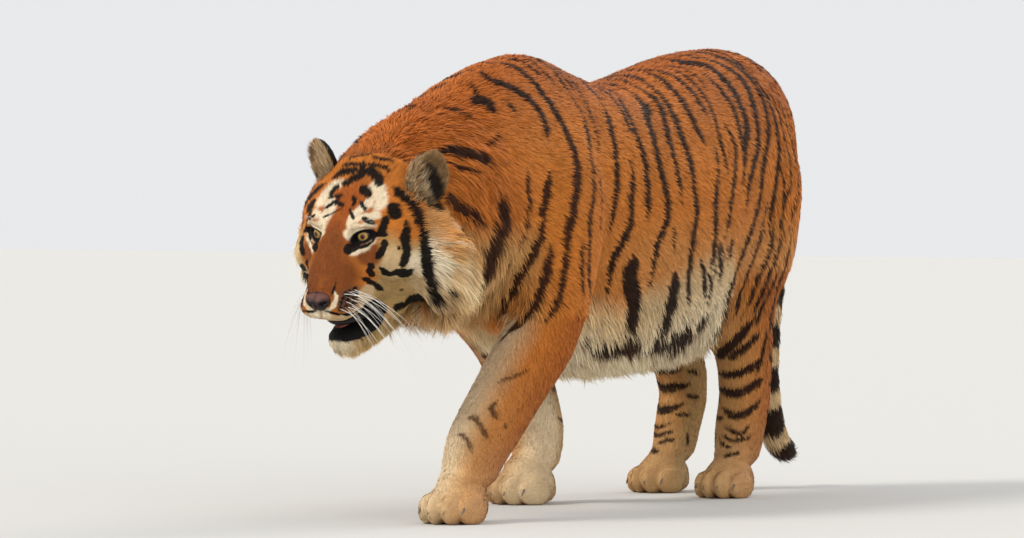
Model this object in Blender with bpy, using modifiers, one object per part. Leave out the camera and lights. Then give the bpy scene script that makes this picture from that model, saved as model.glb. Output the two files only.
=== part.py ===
"""A life-size walking tiger, modelled whole and then parted into named pieces by thin cuts.

Metres, +Z up. The tiger walks towards -Y and its left side is +X. Lofts for the trunk, head, limbs
and tail are fused into one solid, thinned, and divided by flat-sided cells along its joints.
"""

import math

import bmesh
import bpy
import numpy as np
from mathutils import Matrix, Vector

# Driving dimensions.
GAP = 0.0004  # between neighbouring pieces
BODY_VOXEL = 0.011  # of the first fusing, trunk with limbs
SKIN_VOXEL = 0.0060  # of the second fusing, with the head and the paws
BODY_TRIANGLES = 3000  # of the fused solid, before it is parted
RING_CORNERS = 40  # points round a loft's section
STATION_STEP = 0.02  # spacing of a loft's sections
SOLE = 0.0  # height of the floor

# The head's own axes are left, forward along the muzzle and up through the crown.
EYES_MIDDLE = Vector((-0.030, -1.1126, 0.5776))
HEAD_PITCH = math.radians(30)  # nose down
HEAD_TURN = math.radians(-5)  # towards the tiger's right
HEAD_ROLL = math.radians(2.7)  # left ear down
EYE_RADIUS = 0.0185
EYE_SEAT = (0.0525, -0.0160, -0.0040)  # middle of the left eyeball in the head's axes
GAZE = Vector((0.28, 0.92, 0.28))  # of the left eye, in the head's axes
LID_HALF = (0.0215, 0.030, 0.0150)  # of the opening between the lids: across, along the gaze and upright

# Sections of the trunk and neck: y, x, height of the widest line, half width, rise above that line,
# drop below it, and how square the section is above and below.
TRUNK = (
    (0.645, 0.000, 0.775, 0.030, 0.060, 0.090, 2.0, 2.0),
    (0.600, 0.000, 0.745, 0.078, 0.155, 0.150, 2.0, 2.0),
    (0.500, 0.000, 0.720, 0.130, 0.228, 0.215, 2.1, 2.0),
    (0.360, 0.000, 0.690, 0.174, 0.284, 0.290, 2.2, 2.1),
    (0.180, 0.000, 0.630, 0.207, 0.330, 0.320, 2.2, 2.2),
    (0.000, 0.000, 0.590, 0.228, 0.330, 0.300, 2.2, 2.2),
    (-0.160, 0.000, 0.585, 0.230, 0.306, 0.303, 2.1, 2.1),
    (-0.300, 0.000, 0.590, 0.220, 0.321, 0.306, 2.0, 2.0),
    (-0.460, 0.000, 0.610, 0.202, 0.343, 0.303, 1.9, 1.5),
    (-0.580, -0.002, 0.620, 0.194, 0.317, 0.262, 2.0, 1.5),
    (-0.690, -0.004, 0.630, 0.188, 0.272, 0.225, 2.0, 1.7),
    (-0.790, -0.008, 0.630, 0.182, 0.226, 0.210, 2.0, 2.0),
    (-0.900, -0.016, 0.610, 0.174, 0.202, 0.180, 2.0, 2.0),
    (-0.985, -0.024, 0.590, 0.150, 0.170, 0.140, 2.0, 2.0),
)

# Sections of the head: forward, height of the widest line, half width, rise, drop, squareness.
SKULL = (
    (-0.255, -0.030, 0.105, 0.090, 0.110, 2.0),
    (-0.205, -0.032, 0.140, 0.122, 0.145, 2.1),
    (-0.155, -0.032, 0.150, 0.128, 0.160, 2.1),
    (-0.105, -0.026, 0.156, 0.100, 0.164, 2.3),
    (-0.060, -0.026, 0.142, 0.074, 0.164, 2.3),
    (-0.020, -0.036, 0.114, 0.068, 0.146, 2.2),
    (0.020, -0.056, 0.080, 0.070, 0.112, 1.9),
    (0.060, -0.080, 0.062, 0.062, 0.062, 2.0),
    (0.095, -0.096, 0.052, 0.048, 0.036, 2.2),
    (0.118, -0.101, 0.042, 0.035, 0.028, 2.2),
    (0.130, -0.102, 0.026, 0.020, 0.018, 2.0),
)
JAW = (
    (-0.130, -0.150, 0.092, 0.050, 0.060, 2.0),
    (-0.080, -0.165, 0.088, 0.050, 0.062, 2.0),
    (-0.020, -0.182, 0.070, 0.032, 0.054, 2.1),
    (0.030, -0.192, 0.054, 0.024, 0.044, 2.2),
    (0.070, -0.194, 0.045, 0.028, 0.037, 2.2),
    (0.095, -0.192, 0.034, 0.024, 0.032, 2.1),
    (0.108, -0.190, 0.018, 0.014, 0.018, 2.0),
)
# Fuller forms of the head: left, forward, up, then their half sizes. Each stands on both sides.
HEAD_FORMS = (
    (0.032, 0.082, -0.106, 0.035, 0.046, 0.034),  # whisker pad
    (0.050, -0.020, 0.016, 0.036, 0.032, 0.020),  # brow
    (0.090, -0.050, -0.060, 0.056, 0.074, 0.062),  # cheek bone
    (0.120, -0.118, -0.112, 0.074, 0.078, 0.112),  # cheek ruff
)
NOSE_PAD = (0.0, 0.120, -0.080, 0.025, 0.014, 0.018)
# Ears: middle in the head's axes, half height, half width, turn of the cup outwards, lean outwards.
EARS = {
    "ear_left": ((0.130, -0.156, 0.045), 0.059, 0.043, math.radians(52), math.radians(32)),
    "ear_right": ((-0.124, -0.166, 0.060), 0.056, 0.043, math.radians(-26), math.radians(-26)),
}

# Sections of the limbs: x, y, z of the bone's line, half width across, half width fore and aft.
LIMBS = {
    "foreleg_left": (
        (0.085, -0.440, 0.800, 0.060, 0.085),
        (0.125, -0.500, 0.700, 0.080, 0.125),
        (0.146, -0.560, 0.590, 0.084, 0.135),
        (0.152, -0.590, 0.480, 0.080, 0.115),
        (0.153, -0.640, 0.370, 0.075, 0.092),
        (0.150, -0.735, 0.278, 0.070, 0.080),
        (0.145, -0.818, 0.200, 0.067, 0.078),
        (0.140, -0.872, 0.140, 0.064, 0.072),
        (0.137, -0.905, 0.070, 0.056, 0.056),
    ),
    "foreleg_right": (
        (-0.085, -0.440, 0.800, 0.060, 0.085),
        (-0.125, -0.485, 0.700, 0.080, 0.125),
        (-0.146, -0.505, 0.590, 0.084, 0.130),
        (-0.140, -0.435, 0.480, 0.075, 0.108),
        (-0.127, -0.335, 0.370, 0.066, 0.084),
        (-0.124, -0.260, 0.280, 0.063, 0.075),
        (-0.123, -0.203, 0.200, 0.060, 0.067),
        (-0.122, -0.184, 0.140, 0.058, 0.060),
        (-0.121, -0.194, 0.070, 0.054, 0.052),
    ),
    "hindleg_left": (
        (0.070, 0.410, 0.800, 0.070, 0.120),
        (0.096, 0.375, 0.700, 0.086, 0.160),
        (0.112, 0.320, 0.580, 0.082, 0.168),
        (0.122, 0.262, 0.470, 0.074, 0.138),
        (0.124, 0.264, 0.370, 0.065, 0.100),
        (0.121, 0.284, 0.280, 0.058, 0.076),
        (0.118, 0.288, 0.210, 0.056, 0.066),
        (0.116, 0.270, 0.140, 0.056, 0.060),
        (0.115, 0.258, 0.070, 0.052, 0.050),
    ),
    "hindleg_right": (
        (-0.070, 0.420, 0.800, 0.070, 0.120),
        (-0.096, 0.405, 0.700, 0.086, 0.158),
        (-0.112, 0.372, 0.580, 0.082, 0.166),
        (-0.122, 0.338, 0.470, 0.074, 0.134),
        (-0.124, 0.370, 0.370, 0.065, 0.096),
        (-0.122, 0.424, 0.280, 0.057, 0.072),
        (-0.118, 0.436, 0.210, 0.054, 0.064),
        (-0.116, 0.404, 0.140, 0.053, 0.056),
        (-0.115, 0.380, 0.070, 0.051, 0.050),
    ),
    "tail": (
        (0.000, 0.540, 0.840, 0.062, 0.062),
        (0.000, 0.612, 0.800, 0.052, 0.052),
        (0.000, 0.644, 0.710, 0.043, 0.043),
        (0.000, 0.646, 0.600, 0.038, 0.038),
        (0.000, 0.630, 0.470, 0.035, 0.035),
        (0.000, 0.602, 0.340, 0.034, 0.034),
        (0.000, 0.598, 0.230, 0.035, 0.035),
        (0.000, 0.620, 0.145, 0.036, 0.036),
        (0.000, 0.660, 0.095, 0.034, 0.034),
        (0.000, 0.700, 0.080, 0.028, 0.028),
        (0.000, 0.730, 0.078, 0.014, 0.014),
    ),
}
# Paws: x and y of the ankle, turn of the toes outwards in degrees, size.
PAWS = {
    "forepaw_left": (0.136, -0.905, 5, 1.06),
    "forepaw_right": (-0.121, -0.205, -5, 1.06),
    "hindpaw_left": (0.115, 0.245, 4, 0.98),
    "hindpaw_right": (-0.115, 0.367, -5, 0.98),
}


def smooth_rows(rows, step):
    """A Catmull-Rom curve through the rows of a table, sampled about every `step` of its length."""
    keys = np.array(rows, float)
    padded = np.vstack([2 * keys[0] - keys[1], keys, 2 * keys[-1] - keys[-2]])
    out = []
    for i in range(1, len(padded) - 2):
        a, b, c, d = padded[i - 1 : i + 3]
        count = max(2, math.ceil(float(np.linalg.norm((c - b)[:3])) / step))
        for t in np.arange(count) / count:
            out.append(
                b + 0.5 * t * (c - a + t * (2 * a - 5 * b + 4 * c - d + t * (3 * b - a - 3 * c + d)))
            )
    out.append(keys[-1])
    return np.array(out)


def section(upper, lower):
    """A unit superellipse, square by `upper` where it is above the middle and by `lower` below it."""
    turn = np.arange(RING_CORNERS) * 2 * math.pi / RING_CORNERS
    across, along = np.cos(turn), np.sin(turn)
    power = np.where(along >= 0, 2 / upper, 2 / lower)
    return np.sign(across) * abs(across) ** power, np.sign(along) * abs(along) ** power


def mesh_object(name, mesh):
    data = bpy.data.meshes.new(name)
    mesh.to_mesh(data)
    mesh.free()
    made = bpy.data.objects.new(name, data)
    bpy.context.scene.collection.objects.link(made)
    return made


def skin_rings(name, rings):
    """A closed solid over the rings, which all have the same number of corners."""
    mesh = bmesh.new()
    rows = [[mesh.verts.new(point) for point in ring] for ring in rings]
    for a, b in zip(rows, rows[1:]):
        for i in range(len(a)):
            j = (i + 1) % len(a)
            mesh.faces.new((a[i], a[j], b[j], b[i]))
    mesh.faces.new(rows[0][::-1])
    mesh.faces.new(rows[-1])
    bmesh.ops.recalc_face_normals(mesh, faces=mesh.faces)
    return mesh_object(name, mesh)


def trunk_loft():
    """Upright sections across the walking direction."""
    rings = []
    for y, x, z, half, rise, drop, upper, lower in smooth_rows(TRUNK, STATION_STEP):
        across, along = section(upper, lower)
        height = z + np.where(along > 0, along * rise, along * drop)
        rings.append(np.stack([x + half * across, np.full(RING_CORNERS, y), height], 1))
    return skin_rings("trunk", rings)


def head_frame():
    """From the head's own axes, left, forward and up, to the tiger's. The change mirrors."""
    spin = (
        Matrix.Rotation(HEAD_TURN, 3, "Z")
        @ Matrix.Rotation(HEAD_PITCH, 3, "X")
        @ Matrix.Rotation(HEAD_ROLL, 3, "Y")
    )
    axes = Matrix([spin @ Vector(v) for v in ((1, 0, 0), (0, -1, 0), (0, 0, 1))]).transposed()
    return Matrix.Translation(EYES_MIDDLE) @ axes.to_4x4()


def head_loft(name, rows):
    """Sections square to the muzzle."""
    frame = np.array(head_frame())
    rings = []
    for forward, up, half, rise, drop, square in smooth_rows(rows, STATION_STEP / 2):
        across, along = section(square, square)
        height = up + np.where(along > 0, along * rise, along * drop)
        local = np.stack([half * across, np.full(RING_CORNERS, forward), height], 1)
        rings.append(local @ frame[:3, :3].T + frame[:3, 3])
    return skin_rings(name, rings)


def limb_loft(name, rows):
    """Oval sections square to the limb's own line."""
    line = smooth_rows(rows, STATION_STEP)
    path = line[:, :3]
    ahead = np.gradient(path, axis=0)
    ahead /= np.linalg.norm(ahead, axis=1, keepdims=True)
    side = np.array([1.0, 0.0, 0.0]) - ahead * ahead[:, :1]
    side /= np.linalg.norm(side, axis=1, keepdims=True)
    fore = np.cross(ahead, side)
    across, along = section(2, 2)
    rings = [
        path[i] + np.outer(across * row[3], side[i]) + np.outer(along * row[4], fore[i])
        for i, row in enumerate(line)
    ]
    return skin_rings(name, rings)


def ellipsoid(name, centre, half, frame=Matrix.Identity(4), spin=Matrix.Identity(4), corners=14):
    mesh = bmesh.new()
    bmesh.ops.create_uvsphere(mesh, u_segments=corners, v_segments=corners * 2 // 3, radius=1.0)
    mesh.transform(frame @ Matrix.Translation(centre) @ spin @ Matrix.Diagonal((*half, 1.0)))
    if frame.determinant() < 0:
        bmesh.ops.reverse_faces(mesh, faces=mesh.faces)
    return mesh_object(name, mesh)


def paw(x, y, toes_out, size):
    """A paw of its pad, its heel and four toes, with its toes towards -Y."""
    frame = (
        Matrix.Translation((x, y, 0))
        @ Matrix.Rotation(math.radians(toes_out), 4, "Z")
        @ Matrix.Scale(size, 4)
    )
    forms = [
        ellipsoid("pad", (0, -0.022, 0.046), (0.060, 0.080, 0.054), frame),
        ellipsoid("heel", (0, 0.020, 0.030), (0.046, 0.046, 0.036), frame),
    ]
    for out, ahead in ((-0.047, -0.066), (-0.017, -0.090), (0.017, -0.090), (0.047, -0.066)):
        spin = Matrix.Rotation(-3.5 * out, 4, "Z") @ Matrix.Rotation(-0.3, 4, "X")
        forms.append(ellipsoid("toe", (out, ahead, 0.031), (0.020, 0.036, 0.032), frame, spin))
    return forms


def joined(name, objects):
    mesh = bmesh.new()
    for one in objects:
        mesh.from_mesh(one.data)
        bpy.data.objects.remove(one)
    return mesh_object(name, mesh)


def applied(made):
    """The object with the result of its modifiers as its own mesh."""
    graph = bpy.context.evaluated_depsgraph_get()
    graph.update()
    data = bpy.data.meshes.new_from_object(made.evaluated_get(graph))
    made.modifiers.clear()
    made.data = data
    return made


def fused(made, voxel, passes):
    """Overlapping forms as one skin, with its creases eased."""
    remesh = made.modifiers.new("fuse", "REMESH")
    remesh.mode = "VOXEL"
    remesh.voxel_size = voxel
    ease = made.modifiers.new("ease", "SMOOTH")
    ease.factor = 0.5
    ease.iterations = passes
    return applied(made)


def thinned(made, triangles):
    made.data.calc_loop_triangles()
    thin = made.modifiers.new("thin", "DECIMATE")
    thin.ratio = triangles / len(made.data.loop_triangles)
    return applied(made)


def boolean(made, operation, tool, keep_tool=False):
    step = made.modifiers.new("step", "BOOLEAN")
    step.operation = operation
    step.solver = "EXACT"
    step.object = tool
    applied(made)
    if not keep_tool:
        bpy.data.objects.remove(tool)
    return made


def cell(planes, grow=0.0):
    """A block bounded by planes, each a point and a direction out of the block, grown by `grow`."""
    mesh = bmesh.new()
    bmesh.ops.create_cube(mesh, size=6.0)
    for point, away in planes:
        out = Vector(away).normalized()
        bmesh.ops.bisect_plane(
            mesh, geom=mesh.verts[:] + mesh.edges[:] + mesh.faces[:], plane_co=Vector(point) + out * grow,
            plane_no=out, clear_outer=True,
        )
        rim = [edge for edge in mesh.edges if edge.is_boundary]
        if rim:
            bmesh.ops.holes_fill(mesh, edges=rim)
    bmesh.ops.recalc_face_normals(mesh, faces=mesh.faces)
    return mesh_object("cell", mesh)


def largest_body(made):
    """Drops the loose slivers that a cut may leave beside the object's main body."""
    mesh = bmesh.new()
    mesh.from_mesh(made.data)
    left, bodies = set(mesh.verts), []
    while left:
        body, edge = set(), [left.pop()]
        while edge:
            corner = edge.pop()
            body.add(corner)
            for link in corner.link_edges:
                other = link.other_vert(corner)
                if other in left:
                    left.remove(other)
                    edge.append(other)
        bodies.append(body)
    bodies.sort(key=len)
    for body in bodies[:-1]:
        bmesh.ops.delete(mesh, geom=list(body), context="VERTS")
    mesh.to_mesh(made.data)
    mesh.free()
    return made


def parted(rest, name, planes):
    """Cuts the cell's share out of `rest` as a new object, GAP clear of what is left."""
    piece = bpy.data.objects.new(name, rest.data.copy())
    bpy.context.scene.collection.objects.link(piece)
    boolean(piece, "INTERSECT", cell(planes))
    boolean(rest, "DIFFERENCE", cell(planes, GAP))
    largest_body(rest)
    return largest_body(piece)


def ear(name, middle, tall, wide, turn, lean):
    """A cupped ear: a flattened ball with a hollow in its front. Returns it and its uncupped form."""
    spin = Matrix.Rotation(-turn, 4, "Z") @ Matrix.Rotation(lean, 4, "Y") @ Matrix.Rotation(0.15, 4, "X")
    shell = ellipsoid(name, middle, (wide, 0.022, tall), head_frame(), spin, 16)
    room = ellipsoid("room", middle, (wide + GAP, 0.022 + GAP, tall + GAP), head_frame(), spin, 16)
    hollow = Vector(middle) + spin.to_3x3() @ Vector((0, 0.030, 0.006))
    half = (wide * 0.84, 0.034, tall * 0.84)
    boolean(shell, "DIFFERENCE", ellipsoid("hollow", hollow, half, head_frame(), spin))
    return shell, room


def whole_body():
    """The flesh from nose to tail as one thinned solid, flat under its paws."""
    body = fused(joined("body", [trunk_loft()] + [limb_loft(k, v) for k, v in LIMBS.items()]), BODY_VOXEL, 14)
    forms = [body, head_loft("skull", SKULL), head_loft("jaw", JAW)]
    for row in PAWS.values():
        forms += paw(*row)
    for left, forward, up, wide, deep, tall in HEAD_FORMS:
        for side in (-1, 1):
            forms.append(ellipsoid("form", (side * left, forward, up), (wide, deep, tall), head_frame()))
    body = thinned(fused(joined("body", forms), SKIN_VOXEL, 8), BODY_TRIANGLES)
    return boolean(body, "INTERSECT", cell((((0, 0, SOLE), (0, 0, -1)),)))


def cells():
    """The cells in the order they are cut. Whatever is left at the end is the rump."""
    frame = head_frame()

    def in_head(left, forward, up, out):
        return frame @ Vector((left, forward, up)), frame.to_3x3() @ Vector(out)

    def box(x=None, y=None, z=None):
        sides = []
        for axis, limits in enumerate((x, y, z)):
            for end, limit in enumerate(limits or ()):
                if limit is not None:
                    point, away = [0.0] * 3, [0.0] * 3
                    point[axis], away[axis] = limit, 2.0 * end - 1.0
                    sides.append((point, away))
        return sides

    yield "tail_tip", box(y=(0.50, None), z=(None, 0.150))
    yield "tail_end", box(y=(0.54, None), z=(None, 0.370))
    yield "tail_middle", box(y=(0.585, None), z=(None, 0.600))
    yield "tail_root", box(y=(0.597, None), z=(None, 0.770))
    yield "forepaw_left", box(y=(None, -0.60), z=(None, 0.100))
    yield "forepaw_right", box(y=(None, 0.0), z=(None, 0.100))
    yield "hindpaw_left", box(x=(0.0, None), z=(None, 0.088))
    yield "hindpaw_right", box(z=(None, 0.088))
    yield "forearm_left", box(x=(0.070, None), y=(None, -0.40)) + [
        ((0.15, -0.60, 0.430), (0, 0.35, 0.94)),
        ((0.15, -0.74, 0.460), (0, -0.72, 0.69)),
    ]
    yield "forearm_right", box(x=(None, -0.045), y=(-0.60, 0.0)) + [
        ((-0.15, -0.41, 0.420), (0, -0.75, 0.66)),
        ((-0.15, -0.30, 0.345), (0, 0.45, 0.90)),
    ]
    yield "hock_left", box(x=(0.0, None), y=(0.05, None), z=(None, 0.235))
    yield "hock_right", box(x=(None, 0.0), y=(0.05, None), z=(None, 0.245))
    yield "shank_left", box(x=(0.055, None), y=(0.125, None)) + [((0.12, 0.25, 0.420), (0, -0.25, 0.97))]
    yield "shank_right", box(x=(None, -0.055), y=(0.20, None)) + [((-0.12, 0.33, 0.420), (0, -0.25, 0.97))]
    yield "lower_jaw", [in_head(0, 0.03, -0.166, (0, -0.2, 1)), in_head(0, -0.055, -0.2, (0, -1, 0))]
    yield "head", [in_head(0, -0.208, 0, (0, -1, 0))]
    yield "shoulder_left", box(x=(0.105, None), y=(-0.72, -0.36), z=(None, 0.790))
    yield "shoulder_right", box(x=(None, -0.105), y=(-0.70, -0.33), z=(None, 0.790))
    yield "neck", [((0, -0.62, 0.60), (0, 1, -0.25))]
    yield "chest", box(y=(None, -0.30))
    yield "barrel", box(y=(None, 0.02))
    yield "thigh_left", box(x=(0.085, None), y=(0.10, 0.50), z=(None, 0.760))
    yield "thigh_right", box(x=(None, -0.085), y=(0.15, 0.56), z=(None, 0.760))
    yield "loin", box(y=(None, 0.25))


# Colour, roughness and name of the material of each kind of piece.
COAT = ("tiger_coat", (0.62, 0.27, 0.08), 0.75)
CREAM = ("tiger_pale_coat", (0.78, 0.66, 0.50), 0.75)
DARK = ("tiger_dark_coat", (0.06, 0.05, 0.045), 0.75)
NOSE_SKIN = ("tiger_nose_skin", (0.30, 0.13, 0.11), 0.5)
EYE_GLASS = ("tiger_eye_glass", (0.70, 0.58, 0.28), 0.08)
FINISH = {
    "lower_jaw": CREAM, "ear_left": CREAM, "ear_right": CREAM, "nose": NOSE_SKIN,
    "eye_left": EYE_GLASS, "eye_right": EYE_GLASS, "tail_tip": DARK,
}


def finish(made, material_name, colour, roughness):
    """Gives a piece its material and eases the shading of its round faces."""
    material = bpy.data.materials.get(material_name)
    if material is None:
        material = bpy.data.materials.new(material_name)
        material.use_nodes = True
        shader = material.node_tree.nodes["Principled BSDF"]
        shader.inputs["Base Color"].default_value = (*colour, 1.0)
        shader.inputs["Roughness"].default_value = roughness
        shader.inputs["Metallic"].default_value = 0.0
    made.data.materials.clear()
    made.data.materials.append(material)
    made.data.polygons.foreach_set("use_smooth", np.ones(len(made.data.polygons), bool))
    made.data.set_sharp_from_angle(angle=math.radians(45))


def main():
    for old in list(bpy.data.objects):
        bpy.data.objects.remove(old)
    frame = head_frame()
    rest = whole_body()
    pieces = []
    for name, row in EARS.items():
        shell, room = ear(name, *row)
        pieces.append(shell)
        boolean(rest, "DIFFERENCE", room)
    for side, name in ((1, "eye_left"), (-1, "eye_right")):
        seat = Vector((EYE_SEAT[0] * side, *EYE_SEAT[1:]))
        gaze = Vector((GAZE[0] * side, *GAZE[1:])).normalized()
        turned = Vector((0, 1, 0)).rotation_difference(gaze).to_matrix().to_4x4()
        boolean(rest, "DIFFERENCE", ellipsoid("lids", seat + 0.026 * gaze, LID_HALF, frame, turned))
        pieces.append(ellipsoid(name, seat, (EYE_RADIUS,) * 3, frame))
        boolean(rest, "DIFFERENCE", ellipsoid("room", seat, (EYE_RADIUS + GAP,) * 3, frame))
    pieces.append(ellipsoid("nose", NOSE_PAD[:3], NOSE_PAD[3:], frame))
    boolean(rest, "DIFFERENCE", ellipsoid("room", NOSE_PAD[:3], [half + GAP for half in NOSE_PAD[3:]], frame))
    for name, planes in cells():
        pieces.append(parted(rest, name, planes))
    rest.name = "rump"
    pieces.append(rest)

    # The model's box is centred over the origin, with the soles on the floor.
    corners = np.concatenate([[list(v.co) for v in one.data.vertices] for one in pieces])
    low, high = corners.min(0), corners.max(0)
    move = Matrix.Translation((-(low[0] + high[0]) / 2, -(low[1] + high[1]) / 2, -low[2]))
    model = bpy.data.collections.new("tiger")
    bpy.context.scene.collection.children.link(model)
    for one in pieces:
        one.data.transform(move)
        one.data.name = one.name
        bpy.context.scene.collection.objects.unlink(one)
        model.objects.link(one)
        finish(one, *FINISH.get(one.name, COAT))


if __name__ == "__main__":
    main()
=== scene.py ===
"""The looks of a life-size walking tiger: one hide with its folds and lids, and its coat in tufts.

Metres, +Z up, the tiger walks towards -Y and its left side is +X.
"""

import bmesh
import bpy
import numpy as np
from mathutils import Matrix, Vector
from mathutils.bvhtree import BVHTree


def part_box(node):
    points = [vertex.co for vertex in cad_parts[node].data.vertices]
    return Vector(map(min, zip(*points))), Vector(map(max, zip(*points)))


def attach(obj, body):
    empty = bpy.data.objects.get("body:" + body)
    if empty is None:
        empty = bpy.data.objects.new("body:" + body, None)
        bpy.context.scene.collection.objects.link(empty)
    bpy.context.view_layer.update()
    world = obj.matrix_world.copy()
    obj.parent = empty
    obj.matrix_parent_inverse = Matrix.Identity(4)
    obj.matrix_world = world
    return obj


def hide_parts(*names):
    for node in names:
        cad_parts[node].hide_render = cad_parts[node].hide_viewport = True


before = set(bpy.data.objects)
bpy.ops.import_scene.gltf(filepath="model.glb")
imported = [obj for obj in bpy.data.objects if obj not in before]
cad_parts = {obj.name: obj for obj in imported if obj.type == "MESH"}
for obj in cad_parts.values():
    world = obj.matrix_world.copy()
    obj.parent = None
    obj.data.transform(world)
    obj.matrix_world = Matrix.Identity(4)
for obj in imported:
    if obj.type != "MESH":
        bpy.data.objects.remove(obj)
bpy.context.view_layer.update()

# ---- The hide -------------------------------------------------------------------------------------
# One unbroken skin over all the flesh, from the nose leather to the tip of the tail. It lies inside
# the carved body by the depth of the hair, and is drawn finer over the head and the paws.
FLESH = [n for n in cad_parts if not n.startswith(("eye", "ear", "nose"))]
HIDE_SQUARE = 0.0112  # the side of its squares before any are divided
HIDE_DEPTH = 0.30  # how deep it lies, as a part of the length of the coat over it


def middle(node):
    """The centre of a node's box."""
    low, high = (np.array(corner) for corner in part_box(node))
    return (low + high) / 2


def unit(vectors):
    """Each vector divided by its own length."""
    return vectors / np.maximum(np.linalg.norm(vectors, axis=-1, keepdims=True), 1e-12)


def ramp(value, start, end):
    """0 before the start, 1 past the end, and 3t^2 - 2t^3 between them."""
    t = np.clip((value - start) / (end - start), 0, 1)
    return t * t * (3 - 2 * t)


def turned(places, angle):
    """Places turned about the upright by an angle in radians."""
    c, s = np.cos(angle), np.sin(angle)
    x, y, z = np.moveaxis(places, -1, 0)
    return np.stack([c * x - s * y, s * x + c * y, z], -1)


def ring_quads(rings, count):
    """Quads between rings that each have this count of points, one ring after another."""
    r, k = (grid.ravel() for grid in np.meshgrid(np.arange(rings - 1), np.arange(count), indexing="ij"))
    after = (k + 1) % count
    return np.stack([r * count + k, r * count + after, (r + 1) * count + after, (r + 1) * count + k], 1)


def split_quads(quads):
    """Each quad as two triangles."""
    return np.concatenate([quads[:, (0, 1, 2)], quads[:, (0, 2, 3)]])


# The head's own axes: left, forward along the muzzle and up through the crown, from between the eyes.
eyes_middle = (middle("eye_left") + middle("eye_right")) / 2
HEAD_LEFT = unit(middle("eye_left") - middle("eye_right"))
to_nose = middle("nose") - eyes_middle
to_nose = unit(to_nose - HEAD_LEFT * (to_nose @ HEAD_LEFT))
above_nose = np.cross(to_nose, HEAD_LEFT)
NOSE_DROP = np.radians(29.2)  # how far below the line ahead the nose lies, seen from between the eyes
HEAD_AHEAD = to_nose * np.cos(NOSE_DROP) + above_nose * np.sin(NOSE_DROP)
HEAD_UP = above_nose * np.cos(NOSE_DROP) - to_nose * np.sin(NOSE_DROP)
HEAD_AXES = np.array([HEAD_LEFT, HEAD_AHEAD, HEAD_UP])
HEAD_MIDDLE = eyes_middle + 0.016 * HEAD_AHEAD + 0.004 * HEAD_UP


def in_head(points):
    """Points in the head's own axes."""
    return (points - HEAD_MIDDLE) @ HEAD_AXES.T


def from_head(points):
    """Points given in the head's own axes, back in the room."""
    return np.asarray(points, float) @ HEAD_AXES + HEAD_MIDDLE


# Each leg's line from its top down: height, distance from the tiger's middle, place along the body,
# half width across and half width fore and aft.
LEG_LINES = {
    "foreleg_left": (
        (0.59, 0.146, -0.325, 0.084, 0.135), (0.48, 0.152, -0.355, 0.080, 0.115),
        (0.37, 0.153, -0.405, 0.075, 0.092), (0.28, 0.150, -0.500, 0.070, 0.080),
        (0.20, 0.145, -0.583, 0.067, 0.078), (0.12, 0.139, -0.650, 0.062, 0.068),
        (0.0, 0.137, -0.690, 0.066, 0.100),
    ),
    "foreleg_right": (
        (0.59, -0.146, -0.270, 0.084, 0.130), (0.48, -0.140, -0.200, 0.075, 0.108),
        (0.37, -0.127, -0.100, 0.066, 0.084), (0.28, -0.124, -0.025, 0.063, 0.075),
        (0.20, -0.123, 0.032, 0.060, 0.067), (0.12, -0.122, 0.048, 0.056, 0.060),
        (0.0, -0.121, 0.010, 0.066, 0.100),
    ),
    "hindleg_left": (
        (0.70, 0.096, 0.610, 0.086, 0.160), (0.58, 0.112, 0.555, 0.082, 0.168),
        (0.47, 0.122, 0.497, 0.074, 0.138), (0.37, 0.124, 0.499, 0.065, 0.100),
        (0.28, 0.121, 0.519, 0.058, 0.076), (0.20, 0.118, 0.521, 0.056, 0.066),
        (0.0, 0.115, 0.470, 0.060, 0.090),
    ),
    "hindleg_right": (
        (0.70, -0.096, 0.640, 0.086, 0.158), (0.58, -0.112, 0.607, 0.082, 0.166),
        (0.47, -0.122, 0.573, 0.074, 0.134), (0.37, -0.124, 0.605, 0.065, 0.096),
        (0.28, -0.122, 0.659, 0.057, 0.072), (0.20, -0.118, 0.670, 0.054, 0.064),
        (0.0, -0.115, 0.592, 0.060, 0.090),
    ),
}
# The tail's line from its root: place along the body and height.
TAIL_LINE = np.array(
    ((0.775, 0.84), (0.847, 0.80), (0.879, 0.71), (0.881, 0.60), (0.865, 0.47), (0.837, 0.34),
     (0.833, 0.23), (0.855, 0.145), (0.895, 0.095), (0.935, 0.08), (0.965, 0.078))
)


def leg_place(points, leg):
    """Where points lie on a leg: degrees round it, 0 outside, -90 in front and 90 behind, and how
    many half widths from its line."""
    rows = np.array(LEG_LINES[leg])[::-1]
    x, y, wide, deep = (np.interp(points[:, 2], rows[:, 0], rows[:, k]) for k in range(1, 5))
    out = np.sign(rows[0, 1]) * (points[:, 0] - x)
    along = points[:, 1] - y
    return np.degrees(np.arctan2(along, out)), np.hypot(out / wide, along / deep)


def tail_place(points):
    """The distance along the tail's line, the distance from it, and its direction there."""
    starts, steps = TAIL_LINE[:-1], np.diff(TAIL_LINE, axis=0)
    lengths = np.linalg.norm(steps, axis=1)
    before = np.r_[0, np.cumsum(lengths)[:-1]]
    off = points[:, None, 1:] - starts
    t = np.clip((off * steps).sum(2) / lengths**2, 0, 1)
    gap = np.linalg.norm(off - t[..., None] * steps, axis=2)
    near = gap.argmin(1)
    row = np.arange(len(points))
    away = np.hypot(gap[row, near], points[:, 0])
    return before[near] + t[row, near] * lengths[near], away, steps[near] / lengths[near, None]


def behind_tail(points):
    """How far points lie behind the tail's line at their height."""
    return points[:, 1] - np.interp(points[:, 2], TAIL_LINE[::-1, 1], TAIL_LINE[::-1, 0])


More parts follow.
